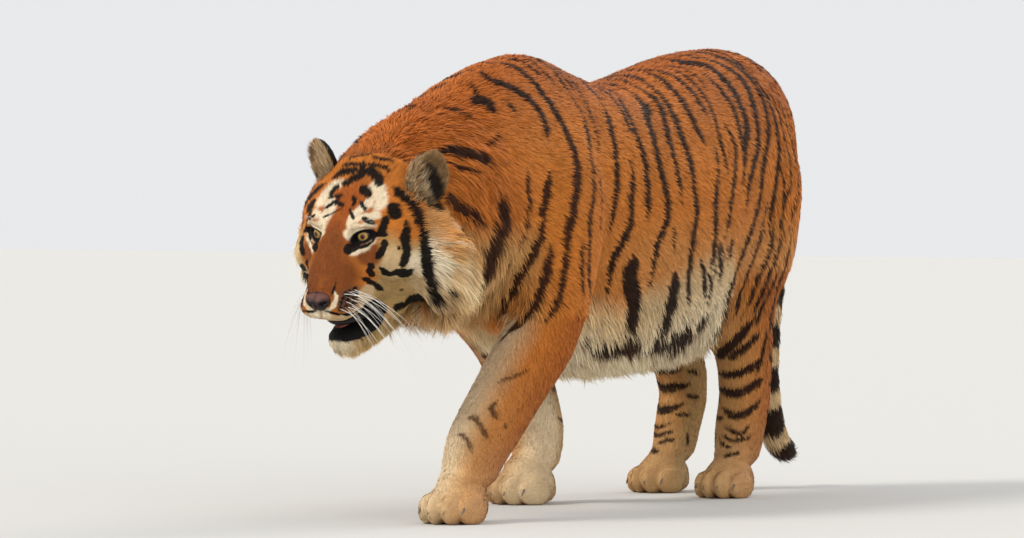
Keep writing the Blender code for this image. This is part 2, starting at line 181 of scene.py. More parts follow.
BODY_PARTS = ("trunk", "head", "tail", "foreleg_left", "foreleg_right", "hindleg_left", "hindleg_right")
FEET_TOP = 0.26  # below this height every point is a leg's
LEG_TOPS = {"fore": 0.42, "hind": 0.50}
TAIL_REACH, TAIL_ROOT = 0.060, 0.09  # from the tail's line, and along it
NAPE = -0.165  # where the head ends, ahead of its middle


def left_or_right(leg):
    """1 for a left leg and -1 for a right one."""
    return 1 if leg.endswith("left") else -1


def body_part(points):
    """The number in BODY_PARTS of the part that each point belongs to."""
    label = np.zeros(len(points), int)
    legs = np.array([leg_place(points, leg)[1] for leg in BODY_PARTS[3:]])
    label = np.where(points[:, 2] < FEET_TOP, legs.argmin(0) + 3, label)
    for number, (leg, widths) in enumerate(zip(BODY_PARTS[3:], legs), 3):
        own_side = points[:, 0] * left_or_right(leg) > 0.035
        label[(widths < 1.5) & own_side & (points[:, 2] < LEG_TOPS[leg[:4]])] = number
    along, away, _ = tail_place(points)
    label[(away < TAIL_REACH) & (along > TAIL_ROOT)] = 2
    head = in_head(points)
    label[(head[:, 1] > NAPE) & (points[:, 2] > 0.33) & (points[:, 1] < -0.70)] = 1
    return label


def square_wrap(nodes, square):
    """One surface of even squares over copies of the CAD nodes, which closes the thin cuts between them."""
    joined = bmesh.new()
    for node in nodes:
        joined.from_mesh(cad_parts[node].data)
    bmesh.ops.remove_doubles(joined, verts=joined.verts[:], dist=1e-5)
    data = bpy.data.meshes.new("wrap")
    joined.to_mesh(data)
    joined.free()
    wrap = bpy.data.objects.new("wrap", data)
    bpy.context.scene.collection.objects.link(wrap)
    remesh = wrap.modifiers.new("squares", "REMESH")
    remesh.mode, remesh.voxel_size = "VOXEL", square
    graph = bpy.context.evaluated_depsgraph_get()
    mesh = bmesh.new()
    mesh.from_object(wrap, graph)
    bpy.data.objects.remove(wrap)
    return mesh


def mesh_arrays(mesh):
    """A mesh's points, its edges and the corners of its faces, as arrays."""
    data = bpy.data.meshes.new("arrays")
    mesh.to_mesh(data)
    points = np.empty((len(data.vertices), 3), np.float32)
    edges = np.empty((len(data.edges), 2), np.int32)
    corners = np.empty(len(data.loops), np.int32)
    data.vertices.foreach_get("co", points.ravel())
    data.edges.foreach_get("vertices", edges.ravel())
    data.loops.foreach_get("vertex_index", corners)
    bpy.data.meshes.remove(data)
    return points.astype(float), edges.astype(int), corners.astype(int)


def moved(mesh, points):
    """The mesh with its points at other places."""
    data = bpy.data.meshes.new("moved")
    mesh.to_mesh(data)
    mesh.free()
    data.vertices.foreach_set("co", points.astype(np.float32).ravel())
    made = bmesh.new()
    made.from_mesh(data)
    bpy.data.meshes.remove(data)
    return made


def eased(points, edges, amount, rounds):
    """Each round moves a point towards the mean of its neighbours and the next one back a little
    further than it came, which rounds off facets and keeps the bulk."""
    count = np.bincount(edges.ravel(), minlength=len(points))[:, None]
    for turn in range(2 * rounds):
        mean = np.stack(
            [
                np.bincount(edges[:, 0], points[edges[:, 1], k], len(points))
                + np.bincount(edges[:, 1], points[edges[:, 0], k], len(points))
                for k in range(3)
            ],
            1,
        ) / count
        points = points + (0.6 if turn % 2 == 0 else -0.62) * amount * (mean - points)
    return points


hide = square_wrap(FLESH, HIDE_SQUARE)
points, edges, _ = mesh_arrays(hide)
parts = body_part(points)
hide = moved(hide, eased(points, edges, np.where(parts == 1, 0.8, 1.0)[:, None], 14))

# Each paw's ankle across and along the body, the turn of its toes outwards in degrees, and its size.
PAWS = {
    "foreleg_left": (0.1355, -0.6704, 5, 1.06),
    "foreleg_right": (-0.1215, 0.0296, -5, 1.06),
    "hindleg_left": (0.1145, 0.4796, 4, 0.98),
    "hindleg_right": (-0.1155, 0.6016, -5, 0.98),
}
# The forms of a paw: middle and half sizes in metres, and a toe's turn in degrees. Out, back and up.
PAW_FORMS = (
    ((0.0, -0.023, 0.040), (0.054, 0.065, 0.052), 0),
    ((0.0, 0.008, 0.024), (0.040, 0.042, 0.028), 0),
    ((-0.046, -0.058, 0.026), (0.0190, 0.042, 0.031), 9),
    ((-0.0165, -0.080, 0.029), (0.0185, 0.044, 0.033), 3),
    ((0.0165, -0.080, 0.029), (0.0185, 0.044, 0.033), -3),
    ((0.046, -0.058, 0.026), (0.0190, 0.042, 0.031), -9),
)


def paw_place(points):
    """The nearest paw to each point, and where the point lies from its ankle: out, back and up."""
    places = []
    for x, y, toes_out, size in PAWS.values():
        places.append(turned((points - (x, y, 0)) / size, -np.radians(toes_out)))
    places = np.array(places)
    near = np.linalg.norm(places[..., :2], axis=2).argmin(0)
    return near, places[near, np.arange(len(points))]


def paw_gap(places):
    """The distance outside a soft union of the forms: -k log(sum(exp(-d / k))), with each ellipsoid's
    d as |q| (|q| - 1) / |q / r|."""
    blend = 0.0045
    total = np.zeros(len(places))
    for form_middle, half, toe_out in PAW_FORMS:
        q = turned(places - form_middle, -np.radians(toe_out)) / half
        size = np.linalg.norm(q, axis=1) + 1e-9
        total += np.exp(-np.clip(size * (size - 1) / np.linalg.norm(q / half, axis=1), -0.05, 0.05) / blend)
    return -blend * np.log(total)


def finer(mesh, wanted):
    """Divides in two each edge whose ends are both wanted."""
    mesh.verts.index_update()
    chosen = [e for e in mesh.edges if wanted[e.verts[0].index] and wanted[e.verts[1].index]]
    bmesh.ops.subdivide_edges(mesh, edges=chosen, cuts=1, use_grid_fill=True, smooth=0.0)
    mesh.verts.index_update()


points, _, _ = mesh_arrays(hide)
head_places = in_head(points)
face = (body_part(points) == 1) & (head_places[:, 1] > -0.13)
finer(hide, face | (points[:, 2] < 0.09))
points, _, _ = mesh_arrays(hide)
head_places = in_head(points)
_, toe_places = paw_place(points)
toes = (toe_places[:, 1] < -0.035) & (points[:, 2] < 0.070)
finer(hide, toes | (body_part(points) == 1) & (head_places[:, 1] > -0.09) & (head_places[:, 2] > -0.215))

bmesh.ops.triangulate(hide, faces=hide.faces[:])
points, _, corners = mesh_arrays(hide)
faces = corners.reshape(-1, 3)
hide.free()


def corner_normals(points, faces):
    """The mean of the faces round each corner, by area."""
    a, b, c = (points[faces[:, k]] for k in range(3))
    flat = np.cross(b - a, c - a)
    total = np.stack(
        [sum(np.bincount(faces[:, k], flat[:, axis], len(points)) for k in range(3)) for axis in range(3)], 1
    )
    return unit(total)


def mottle(points, size, seed):
    """Value noise from -1 to 1: a random number at each corner of a lattice of this size, blended
    by 3t^2 - 2t^3 between the corners."""
    place = points / size + seed * 17.31
    base = np.floor(place).astype(np.int64)
    t = place - base
    t = t * t * (3 - 2 * t)
    total = np.zeros(len(points))
    for corner in range(8):
        step = np.array([corner & 1, corner >> 1 & 1, corner >> 2 & 1])
        cell = base + step
        mix = (cell[:, 0] * 73856093 ^ cell[:, 1] * 19349663 ^ cell[:, 2] * 83492791) & 0x7FFFFFFF
        mix = (mix * 1103515245 + 12345) & 0x7FFFFFFF
        total += ((mix >> 8 & 0xFFFF) / 32767.5 - 1) * np.prod(np.where(step, t, 1 - t), axis=1)
    return total


TRUNK_AXIS = 0.62  # the height that the trunk's degrees are measured round


def trunk_place(points):
    """Where points lie round the trunk: along it, and degrees from the spine towards either side."""
    return points[:, 1], np.degrees(np.arctan2(np.abs(points[:, 0]), points[:, 2] - TRUNK_AXIS))


# The length of the coat over the body, in metres.
def coat_length(points, parts):
    """Short on the face and feet, longest on the ruff, the throat and the belly."""
    along, turn = trunk_place(points)
    head = in_head(points)
    side = np.abs(head[:, 0])
    neck = ramp(along, -0.42, -0.62)
    trunk = 0.020 + 0.024 * ramp(turn, 126, 150) + neck * (0.012 + 0.014 * ramp(turn, 70, 120))
    leg = 0.009 + 0.008 * ramp(points[:, 2], 0.15, 0.42)
    leg = np.where(points[:, 2] < 0.09, 0.0065, leg)
    back = ramp(head[:, 1], 0.03, -0.13)
    low = ramp(head[:, 2], -0.02, -0.12)
    ruff = ramp(side, 0.085, 0.125) * ramp(head[:, 1], -0.01, -0.09)
    face = 0.0055 + 0.009 * back + 0.042 * ruff * (0.35 + 0.65 * low)
    face += 0.020 * ramp(head[:, 2], -0.178, -0.205) * ramp(head[:, 1], 0.135, 0.10)
    tail = 0.021 + 0.012 * ramp(tail_place(points)[0], 0.6, 1.0)
    return np.select([parts == 1, parts == 2, parts >= 3], [face, tail, leg], trunk)


parts = body_part(points)
normals = corner_normals(points, faces)
depth = HIDE_DEPTH * coat_length(points, parts)
points = points - normals * depth[:, None]

# Toes: the wrists are eased, and the feet drawn onto their forms, less the depth of the hair, with
# their soles flat.
face_sides = np.concatenate([faces[:, (0, 1)], faces[:, (1, 2)], faces[:, (2, 0)]])
edges = np.unique(np.sort(face_sides, axis=1), axis=0)
wrist = ramp(points[:, 2], 0.035, 0.075) * ramp(points[:, 2], 0.22, 0.14)
points = eased(points, edges, wrist[:, None], 40)
paw_turns = np.radians([row[2] for row in PAWS.values()])
PROBE = 0.0005  # the step over which the slope of the forms is felt
for _ in range(4):
    near, places = paw_place(points)
    gap = paw_gap(places)
    slope = np.stack([paw_gap(places + step) - gap for step in PROBE * np.eye(3)], 1) / PROBE
    slope = unit(turned(slope, paw_turns[near]))
    foot = ramp(points[:, 2], 0.092, 0.060) * (np.linalg.norm(places[:, :2], axis=1) < 0.15)
    points = points - slope * (foot * np.clip(gap + 0.002, -0.008, 0.008))[:, None]
points[:, 2] = np.where(points[:, 2] < 0.10, np.maximum(points[:, 2], 0.0008), points[:, 2])

# Folds and fuller places of the face, each on both sides: middle, reach and push, along the head's
# axes in millimetres.
FACE_FORMS = (
    ((56, -26, 30), (22, 18, 12), (0, 4, 3)),  # brow
    ((34, 78, -54), (9, 26, 14), (-4, -2, 0)),  # hollow beside the bridge
    ((25, 108, -80), (8, 12, 11), (3.5, 3, 1)),  # wing of the nostril
    ((40, 100, -103), (20, 20, 14), (4, 4, -2)),  # whisker pad
    ((59, 42, -117), (13, 26, 10), (2, 0, -9)),  # flew, the hanging back of the upper lip
    ((0, 130, -104), (3, 12, 12), (0, -5, 0)),  # groove under the nose
    ((62, 30, -34), (16, 22, 10), (-3, -3, 0)),  # hollow under the eye
    ((92, 8, -52), (22, 24, 20), (3, 2, 0)),  # cheek bone
)
head = in_head(points)
push = np.zeros_like(head)
for form_middle, reach, shove in FACE_FORMS:
    for side in (-1, 1):
        if form_middle[0] == 0 and side < 0:
            continue
        off = head - np.array(form_middle) * (side, 1, 1) / 1000
        swell = np.exp(-0.5 * ((off / (np.array(reach) / 1000)) ** 2).sum(1))
        push += swell[:, None] * np.array(shove) * (side, 1, 1) / 1000
points = points + (push * (parts == 1)[:, None]) @ HEAD_AXES


# ---- The eyelids ----------------------------------------------------------------------------------
# Lids of skin round each eye, with an almond opening that is lower towards the nose. Their outer
# edge runs down into the hide.
EYE_RADIUS = 0.0185
GAZE = {"eye_left": (0.28, 0.92, 0.28), "eye_right": (-0.28, 0.92, 0.28)}
LID_ROUND, LID_ROWS = 72, 12  # points round a lid, and rows of them out from its opening
LID_SLANT = 0.24  # how much higher the opening runs for each step outwards
sockets = {}
lid_meshes = []
for eye, gaze in GAZE.items():
    outward = 1 if eye == "eye_left" else -1
    ahead = unit(np.array(gaze) @ HEAD_AXES)
    across = unit(outward * HEAD_LEFT - ahead * (outward * HEAD_LEFT @ ahead))
    upright = unit(HEAD_UP - ahead * (HEAD_UP @ ahead) - across * (HEAD_UP @ across))
    centre = middle(eye)
    sockets[eye] = (centre, ahead, across, upright)
    off = points - centre
    a, b, h = off @ across, off @ upright, off @ ahead
    pit = ramp(1.25 - np.hypot(a / 0.025, (b - 0.1 * a) / 0.018), 0, 0.5) * (h > -0.03) * (parts == 1)
    points = points - (pit * np.maximum(h - 0.001, 0))[:, None] * ahead
hide_tree = BVHTree.FromPolygons(points.tolist(), faces.tolist())
for eye, (centre, ahead, across, upright) in sockets.items():
    turn = np.linspace(0, 2 * np.pi, LID_ROUND, endpoint=False)
    rise = np.sign(np.sin(turn)) * np.abs(np.sin(turn)) ** 1.2
    inner_a = np.where(np.cos(turn) < 0, 0.0178, 0.0158) * np.cos(turn)
    inner_b = np.where(rise > 0, 0.0094, 0.0088) * rise + LID_SLANT * inner_a
    outer_a = 0.0305 * np.cos(turn)
    outer_b = 0.0235 * np.sin(turn) + 0.20 * outer_a
    seat = []
    for oa, ob in zip(outer_a, outer_b):
        start = Vector(centre + across * oa + upright * ob + ahead * 0.07)
        hit = hide_tree.ray_cast(start, Vector(-ahead), 0.12)[0]
        seat.append((np.array(hit) - centre) @ ahead - 0.0012 if hit else 0.0)
    seat = np.array(seat)
    seat = (seat + np.roll(seat, 1) + np.roll(seat, -1)) / 3
    ball = (EYE_RADIUS + 0.0010) ** 2
    brim = np.sqrt(np.maximum(ball - inner_a**2 - inner_b**2, 1e-6))
    tucked = EYE_RADIUS**2 - inner_a**2 * 0.81 - inner_b**2 * 0.77
    rows = [(inner_a * 0.90, inner_b * 0.88, np.sqrt(np.maximum(tucked, 1e-6)))]
    for v in np.linspace(0, 1, LID_ROWS):
        blend = ramp(v, 0, 1)
        bulge = 0.0022 * np.sin(np.pi * min(1, v * 1.6)) * (1 + 0.5 * np.sin(turn))
        height = brim + (seat - brim) * blend + bulge
        rows.append((inner_a + (outer_a - inner_a) * v, inner_b + (outer_b - inner_b) * v, height))
    lid = np.concatenate(
        [centre + ra[:, None] * across + rb[:, None] * upright + rh[:, None] * ahead for ra, rb, rh in rows]
    )
    quads = ring_quads(len(rows), LID_ROUND)
    if np.cross(across, upright) @ ahead > 0:
        quads = quads[:, ::-1]
    lid_meshes.append((lid, split_quads(quads)))
for lid, lid_faces in lid_meshes:
    faces = np.concatenate([faces, lid_faces + len(points)])
    points = np.concatenate([points, lid])
parts = body_part(points)
normals = corner_normals(points, faces)


# ---- The markings ---------------------------------------------------------------------------------
# The tiger's own pattern, painted alike on the hide and on every tuft. A stroke is a smooth line
# through a few places, with a half width in millimetres; both sides carry it, a little shifted.
def linear(red, green, blue):
    """A colour seen on a screen, 0 to 255, as amounts of light."""
    c = np.array([red, green, blue]) / 255
    return np.where(c <= 0.04045, c / 12.92, ((c + 0.055) / 1.055) ** 2.4)


BLACK, BROWN = linear(9, 6, 5), linear(64, 32, 14)
ORANGE, DEEP_ORANGE, PALE_ORANGE = linear(198, 118, 45), linear(166, 86, 30), linear(208, 148, 86)
CHEEK, UMBER, SADDLE = linear(186, 154, 100), linear(122, 74, 44), linear(130, 70, 28)
CREAM, WHITE, TAN = linear(212, 182, 137), linear(235, 217, 186), linear(184, 145, 92)
ROUND_BODY = 0.0044  # metres round the trunk for each degree
ROUND_LEG = 0.0012  # the same round a leg
TRUNK_EDGE, LEG_EDGE, FACE_EDGE, LIP_EDGE = 0.0035, 0.003, 0.0016, 0.002  # how soft a stroke's edge is
LIP_HAIR = 0.005  # how far in from a lip's edge the hair ends
STRIPES_FROM = 0.27  # the height that the trunk's stripes come down to

# Along the trunk in centimetres, and degrees from the spine.
TRUNK_STRIPES = (
    (15, (-53, 14), (-51, 17), (-51, 26)),
    (17, (-70, 32), (-65, 40), (-61, 48), (-60, 52)),
    (5.5, (-58, 42), (-53, 38)),
    (7.5, (-70, 44), (-66, 54), (-62, 57)),
    (15, (-74, 67), (-70, 80), (-65, 93)),
    (10, (-41, 2), (-44, 8), (-42, 16), (-39, 26), (-38, 36), (-39, 46)),
    (10, (-36, 0), (-34, 10), (-34, 24), (-33, 42), (-34, 62), (-37, 82), (-40, 100), (-41, 112)),
    (5.5, (-46, 22), (-45, 31)),
    (7.5, (-48, 60), (-49, 78), (-49, 86)),
    (10, (-41, 64), (-44, 85), (-45, 92)),
    (7.5, (-24, 25), (-24, 40), (-28, 60), (-30, 76), (-33, 95), (-33, 120), (-30, 130)),
    (4, (-19, 28), (-20, 40), (-22, 55)),
    (5.5, (-36, 103), (-36, 126)),
    (10, (-12, 29), (-14, 44), (-16, 63), (-18, 82), (-20, 103)),
    (5.5, (-3, 14), (-4, 30), (-7, 50)),
    (10, (-10, 61), (-12, 80), (-13, 98), (-16, 118), (-15, 136)),
    (9, (1, 22), (-3, 38), (-5, 58), (-7, 80), (-7, 94)),
    (10, (10, 10), (8, 28), (4, 42), (0, 62), (0, 90), (-3, 108), (-3, 130)),
    (7.5, (15, 11), (12, 28), (8, 46), (6, 68), (6, 86)),
    (10, (19, 10), (14, 32), (12, 52), (12, 90), (10, 110), (11, 126), (14, 136)),
    (9, (25, 3), (21, 26), (19, 42), (20, 52)),
    (7.5, (26, 0), (27, 18), (26, 32), (25, 38)),
    (7.5, (29, 33), (27, 48), (27, 68)),
    (13, (36, 0), (36, 8), (41, 16), (42, 30), (41, 42), (37, 56), (34, 74)),
    (8, (36, 18), (38, 34), (36, 52)),
    (8, (31, 41), (33, 52), (29, 74), (27, 92), (25, 106)),
    (10, (22, 72), (20, 95), (20, 120)),
    (11, (43, 9), (49, 22), (47, 38), (44, 56), (38, 72), (35, 88)),
    (11, (50, 13), (54, 26), (52, 42), (47, 62), (44, 84), (38, 108)),
    (10, (55, 19), (58, 34), (58, 52), (54, 76), (50, 106)),
    (6, (58, 62), (58, 84), (55, 106)),
    (21.5, (-10, 116), (-10, 126), (-7, 136), (-4, 148)),
    (18, (5, 122), (7, 136), (7, 152)),
    (17, (-12, 160), (-4, 154), (3, 154)),
    (15.5, (6, 156), (13, 151), (19, 147)),
    (9, (14, 114), (20, 133)),
    (5.5, (-15, 156), (-15, 161)),
    (5, (60, 22), (63, 38), (63, 58), (60, 80), (55, 100)),
    (5, (65, 20), (68, 40), (68, 60), (65, 84), (60, 104)),
    (4.5, (70, 24), (72, 44), (72, 66), (69, 88)),
    (5, (76, 30), (76, 50), (74, 72), (70, 95)),
    (4.5, (81, 40), (80, 60), (78, 85)),
    (5, (46, 4), (52, 14), (55, 20)),
    (4.5, (31, 5), (33, 15), (32, 26)),
    (4, (3, 6), (1, 14), (0, 20)),
    (4, (-20, 8), (-21, 17), (-21, 24)),
    (4.5, (-26, 2), (-27, 12), (-27, 24)),
    (4.5, (24, 50), (23, 66), (22, 80)),
    (4, (-25, 62), (-26, 82), (-27, 100)),
    (3.4, (2, 96), (3, 112)),
    (15.5, (16, 156), (21, 150), (25, 143)),
    (9, (23, 107), (24, 118), (26, 126)),
    (8, (28, 106), (29, 116)),
    (6.5, (18, 121), (22, 129), (22, 136)),
    (7.5, (58, 3), (62, 9), (66, 16)),
    (6, (64, 2), (69, 9), (73, 18)),
    (6, (71, 4), (76, 14), (79, 26)),
    (6, (78, 8), (82, 20), (84, 34)),
    (5, (84, 30), (83, 48), (81, 70)),
    (6.5, (-22, 0), (-23, 12), (-24, 26)),
    (4.5, (-16, 2), (-18, 14), (-19, 28)),
    (9, (-9, 1), (-11, 14), (-12, 30)),
    (5.5, (-3, 0), (-3, 8), (-3, 15)),
    (8, (3, 0), (2, 12), (1, 24)),
    (9, (12, 0), (11, 6), (10, 12)),
    (5.5, (17, 1), (16, 6), (15, 12)),
    (9, (21, 0), (20, 5), (19, 12)),
    (5.5, (30, 10), (30, 22), (29, 34)),
    (7.5, (41, 0), (42, 5), (43, 10)),
    (8.5, (48, 0), (49, 7), (50, 14)),
    (7.5, (53, 0), (54, 10), (55, 20)),
    (5.5, (-31, 1), (-30, 10), (-29, 20)),
    (5.5, (-48, 4), (-50, 10), (-51, 16)),
    (6.5, (-60, 6), (-58, 14), (-57, 22)),
)
# Round the front of the shoulder and over the thigh: centimetres from the tiger's middle, along it
# and up. On the right side they move with that side's leg.
SHOULDER_STRIPES = (
    (21.5, (17, -59, 67), (17, -58, 62), (16, -60, 57), (15, -60, 53), (10, -58, 47)),
    (7.5, (22, -40, 59), (22, -41, 54), (22, -42, 50), (21, -44, 44), (20, -47, 40)),
    (6.5, (18, -49, 67), (17, -50, 60), (16, -52, 54), (12, -53, 48)),
    (9.5, (19, -44, 63), (18, -46, 56), (15, -47, 51), (11, -46, 46), (6, -43, 42)),
    (9.5, (20, -44, 56), (19, -45, 50), (18, -47, 45), (16, -49, 41), (12, -52, 37)),
    (5, (23, -36, 57), (23, -36, 50), (23, -35, 44)),
)
THIGH_STRIPES = (
    (10, (20, 42, 62), (21, 39, 57), (21, 34, 50), (19, 33, 44), (16, 34, 38), (12, 31, 34)),
    (7, (19, 48, 58), (19, 43, 52), (18, 40, 45), (16, 41, 40)),
    (7, (20, 53, 60), (19, 49, 52), (19, 45, 47), (17, 42, 39)),
    (12.5, (18, 46, 40), (16, 42, 34), (13, 42, 32), (9, 44, 30)),
    (8, (19, 57, 58), (19, 52, 51), (19, 47, 44), (17, 45, 40)),
    (6.5, (19, 55, 49), (19, 49, 43), (18, 46, 37)),
    (9.5, (18, 49, 37), (16, 44, 32), (13, 43, 30)),
    (6, (18, 51, 37), (18, 50, 32), (17, 49, 27)),
    (7, (17, 62, 58), (17, 58, 50), (16, 53, 43), (14, 51, 36)),
    (6, (13, 69, 56), (13, 64, 48), (12, 58, 40), (11, 55, 34)),
    (4.5, (18, 50, 66), (19, 47, 60), (19, 44, 54)),
)
# Degrees round the leg, 0 outside and -90 in front, and height in centimetres.
HIND_STRIPES = (
    (8.5, (-10, 30), (-35, 29), (-73, 27), (-122, 27)),
    (10, (-6, 26), (-30, 25), (-73, 23), (-138, 24)),
    (9, (-10, 21.5), (-31, 20), (-67, 18), (-114, 19.5)),
    (4.5, (-30, 16.5), (-55, 14.3), (-96, 15.3)),
    (4.5, (-21, 14), (-60, 12.6), (-104, 13.5)),
    (4.5, (-74, 11), (-114, 12)),
    (4.5, (-56, 10), (-87, 9)),
    (4.5, (-130, 27), (-165, 26)),
    (4.5, (-120, 21.5), (-160, 21)),
    (4.5, (-101, 17.3), (-144, 17)),
    (4.5, (-137, 13.5), (-149, 10.5)),
    (6, (25, 38), (70, 35), (120, 34)),
    (6, (15, 31), (60, 29), (125, 28)),
    (6, (20, 25), (70, 24), (130, 23)),
    (4.5, (20, 19), (60, 18), (110, 17)),
)
FORE_STRIPES = (
    (3.5, (-48, 30.5), (-60, 29.6), (-74, 28.5)),
    (4.5, (-63, 25), (-64, 23.5), (-56, 22.4), (-47, 21.3)),
    (4.5, (-85, 21.4), (-76, 21.4), (-56, 18.7), (-45, 17.3)),
    (4.5, (-94, 18), (-84, 17.5), (-64, 14.3)),
    (5.5, (58, 22.7), (54, 21.6)),
    (3.5, (-29, 20.3), (-17, 19.6)),
    (7, (110, 41), (150, 39), (180, 38)),
    (7, (100, 33), (140, 31), (178, 30)),
    (5.5, (120, 25), (165, 24)),
    (5, (100, 19), (140, 17.5), (172, 18)),
    (5, (-150, 27), (-176, 25)),
    (5, (-140, 36), (-172, 34)),
)
# In millimetres along the head's axes: left, forward and up. The first group is on the forehead,
# where the two sides differ; the second is on both sides.
BROW_STROKES = (
    (10, (15, -83, 60), (29, -78, 58), (42, -72, 53)),
    (5, (-56, -133, 82), (-31, -132, 85), (0, -133, 88)),
    (8, (-6, -138, 90), (1, -122, 82), (3, -109, 75), (-14, -100, 71)),
    (10, (9, -121, 81), (28, -117, 78), (49, -105, 70), (53, -95, 64)),
    (5, (6, -132, 87), (31, -133, 86), (50, -131, 82), (67, -129, 76)),
    (4.5, (7, -154, 94), (32, -152, 91), (64, -155, 85)),
    (4.5, (-55, -150, 86), (-23, -157, 94), (7, -168, 96)),
    (9, (8, -197, 92), (34, -187, 91), (54, -183, 86), (72, -177, 81)),
    (8, (-7, -119, 81), (-25, -117, 79), (-49, -115, 75), (-67, -105, 67)),
    (6, (-3, -109, 75), (-12, -104, 73), (-19, -93, 67), (-37, -92, 65)),
    (7.5, (-39, -86, 61), (-48, -79, 56), (-54, -70, 50)),
    (4.5, (-56, -63, 46), (-36, -65, 50), (-21, -67, 51)),
    (5.5, (-41, -53, 43), (-22, -51, 43), (-8, -47, 42)),
    (4.5, (4, -69, 52), (15, -55, 45), (10, -47, 42)),
    (4.5, (-74, -19, 29), (-62, -12, 28)),
)
FACE_STROKES = (
    (10, (55, 12, 1), (47, 23, -5), (40, 32, -9), (40, 37, -15)),
    (4.5, (48, 22, -6), (60, 11, -9), (72, -2, -8), (84, -12, 0)),
    (7.5, (80, -12, 1), (90, -15, 1), (99, -22, -8)),
    (9, (90, -14, 1), (94, -29, 13), (93, -46, 26)),
    (13.5, (98, -63, 35), (105, -59, 28), (108, -58, 23)),
    (6.5, (58, -18, 34), (71, -14, 30), (80, -21, 24)),
    (5, (25, -59, 47), (40, -49, 42), (51, -37, 36)),
    (3, (8, -43, 40), (25, -27, 35), (38, -12, 30)),
    (9, (81, -99, 60), (102, -92, 49), (123, -86, 32), (140, -79, 5), (150, -68, -36)),
    (11.5, (148, -74, -18), (150, -66, -45), (153, -55, -80), (150, -51, -110), (143, -53, -150),
     (136, -70, -191)),
    (10.5, (123, -58, 5), (133, -34, -25), (139, -24, -44), (136, -11, -58), (130, -3, -69)),
    (9, (94, 20, -58), (103, 8, -69), (120, 6, -75), (127, -9, -88)),
    (10.5, (122, 2, -78), (127, -12, -90), (126, -30, -102)),
    (7.5, (99, -9, -9), (101, -2, -22), (97, 10, -30), (86, 18, -37)),
    (6, (75, 26, -50), (79, 22, -54)),
    (7, (73, 32, -58), (75, 28, -68)),
    (6, (65, 51, -64), (71, 36, -82), (72, 20, -100), (74, 8, -118)),
    (16, (79, -50, -177), (94, -62, -181), (118, -63, -184)),
    (8, (66, -17, -176), (74, -34, -179), (75, -52, -184)),
    (4, (92, -28, -137), (93, -29, -138)),
    (3.5, (98, -29, -47), (98, -29, -48)),
    (5.5, (174, -71, -140), (174, -77, -153), (171, -82, -170)),
    (2.5, (32, 82, -47), (31, 95, -58), (31, 105, -66), (28, 114, -76)),
    (9, (131, -140, 40), (139, -131, 24), (145, -135, 5), (151, -148, -14)),
)
# The black edges of the lips, and the white round the eye.
LIP_STROKES = (
    (3.5, (5, 126, -99), (38, 122, -104), (53, 112, -111), (62, 94, -118), (64, 60, -134)),
    (14, (0, 98, -164), (24, 92, -170), (44, 68, -180), (52, 38, -184), (57, 10, -174)),
    (10, (44, 74, -150), (54, 40, -156), (54, 6, -158)),
    (9, (0, 100, -150), (26, 94, -154), (46, 68, -162), (58, 34, -166), (60, 8, -160)),
    (12, (30, 60, -172), (42, 34, -172), (46, 8, -168), (44, -12, -160)),
)
PALE_STROKES = (
    (14, (36, -94, 63), (54, -86, 58), (70, -68, 44), (66, -46, 34)),
    (13, (54, -70, 50), (42, -46, 41), (35, -22, 31), (34, 2, 14), (33, 16, 5)),
    (10, (80, -42, 31), (66, -28, 33), (50, -20, 34)),
    (7, (40, 4, 14), (52, -7, 21), (68, -19, 23)),
    (8, (42, 8, 16), (56, 0, 22), (70, -10, 22), (82, -19, 20)),
    (8, (46, -12, 27), (60, -19, 30), (73, -27, 28)),
    (6.5, (44, 37, -20), (54, 27, -18), (65, 13, -16), (76, -2, -13), (86, -13, -5)),
    (4, (5, 129, -102), (20, 126, -99), (32, 119, -90), (38, 110, -77), (34, 103, -63)),
)
WHISKER_ROWS = tuple(
    (3.6, (l, f, u), (l + 1, f - 4, u))
    for l, f, u in (
        (44, 116, -97), (52, 109, -97), (58, 99, -99), (62, 87, -103),
        (45, 112, -88), (54, 103, -88), (60, 92, -90), (63, 79, -94),
        (47, 106, -80), (54, 96, -80), (60, 84, -82), (63, 71, -86),
        (50, 96, -73), (56, 85, -74), (61, 72, -78),
    )
)
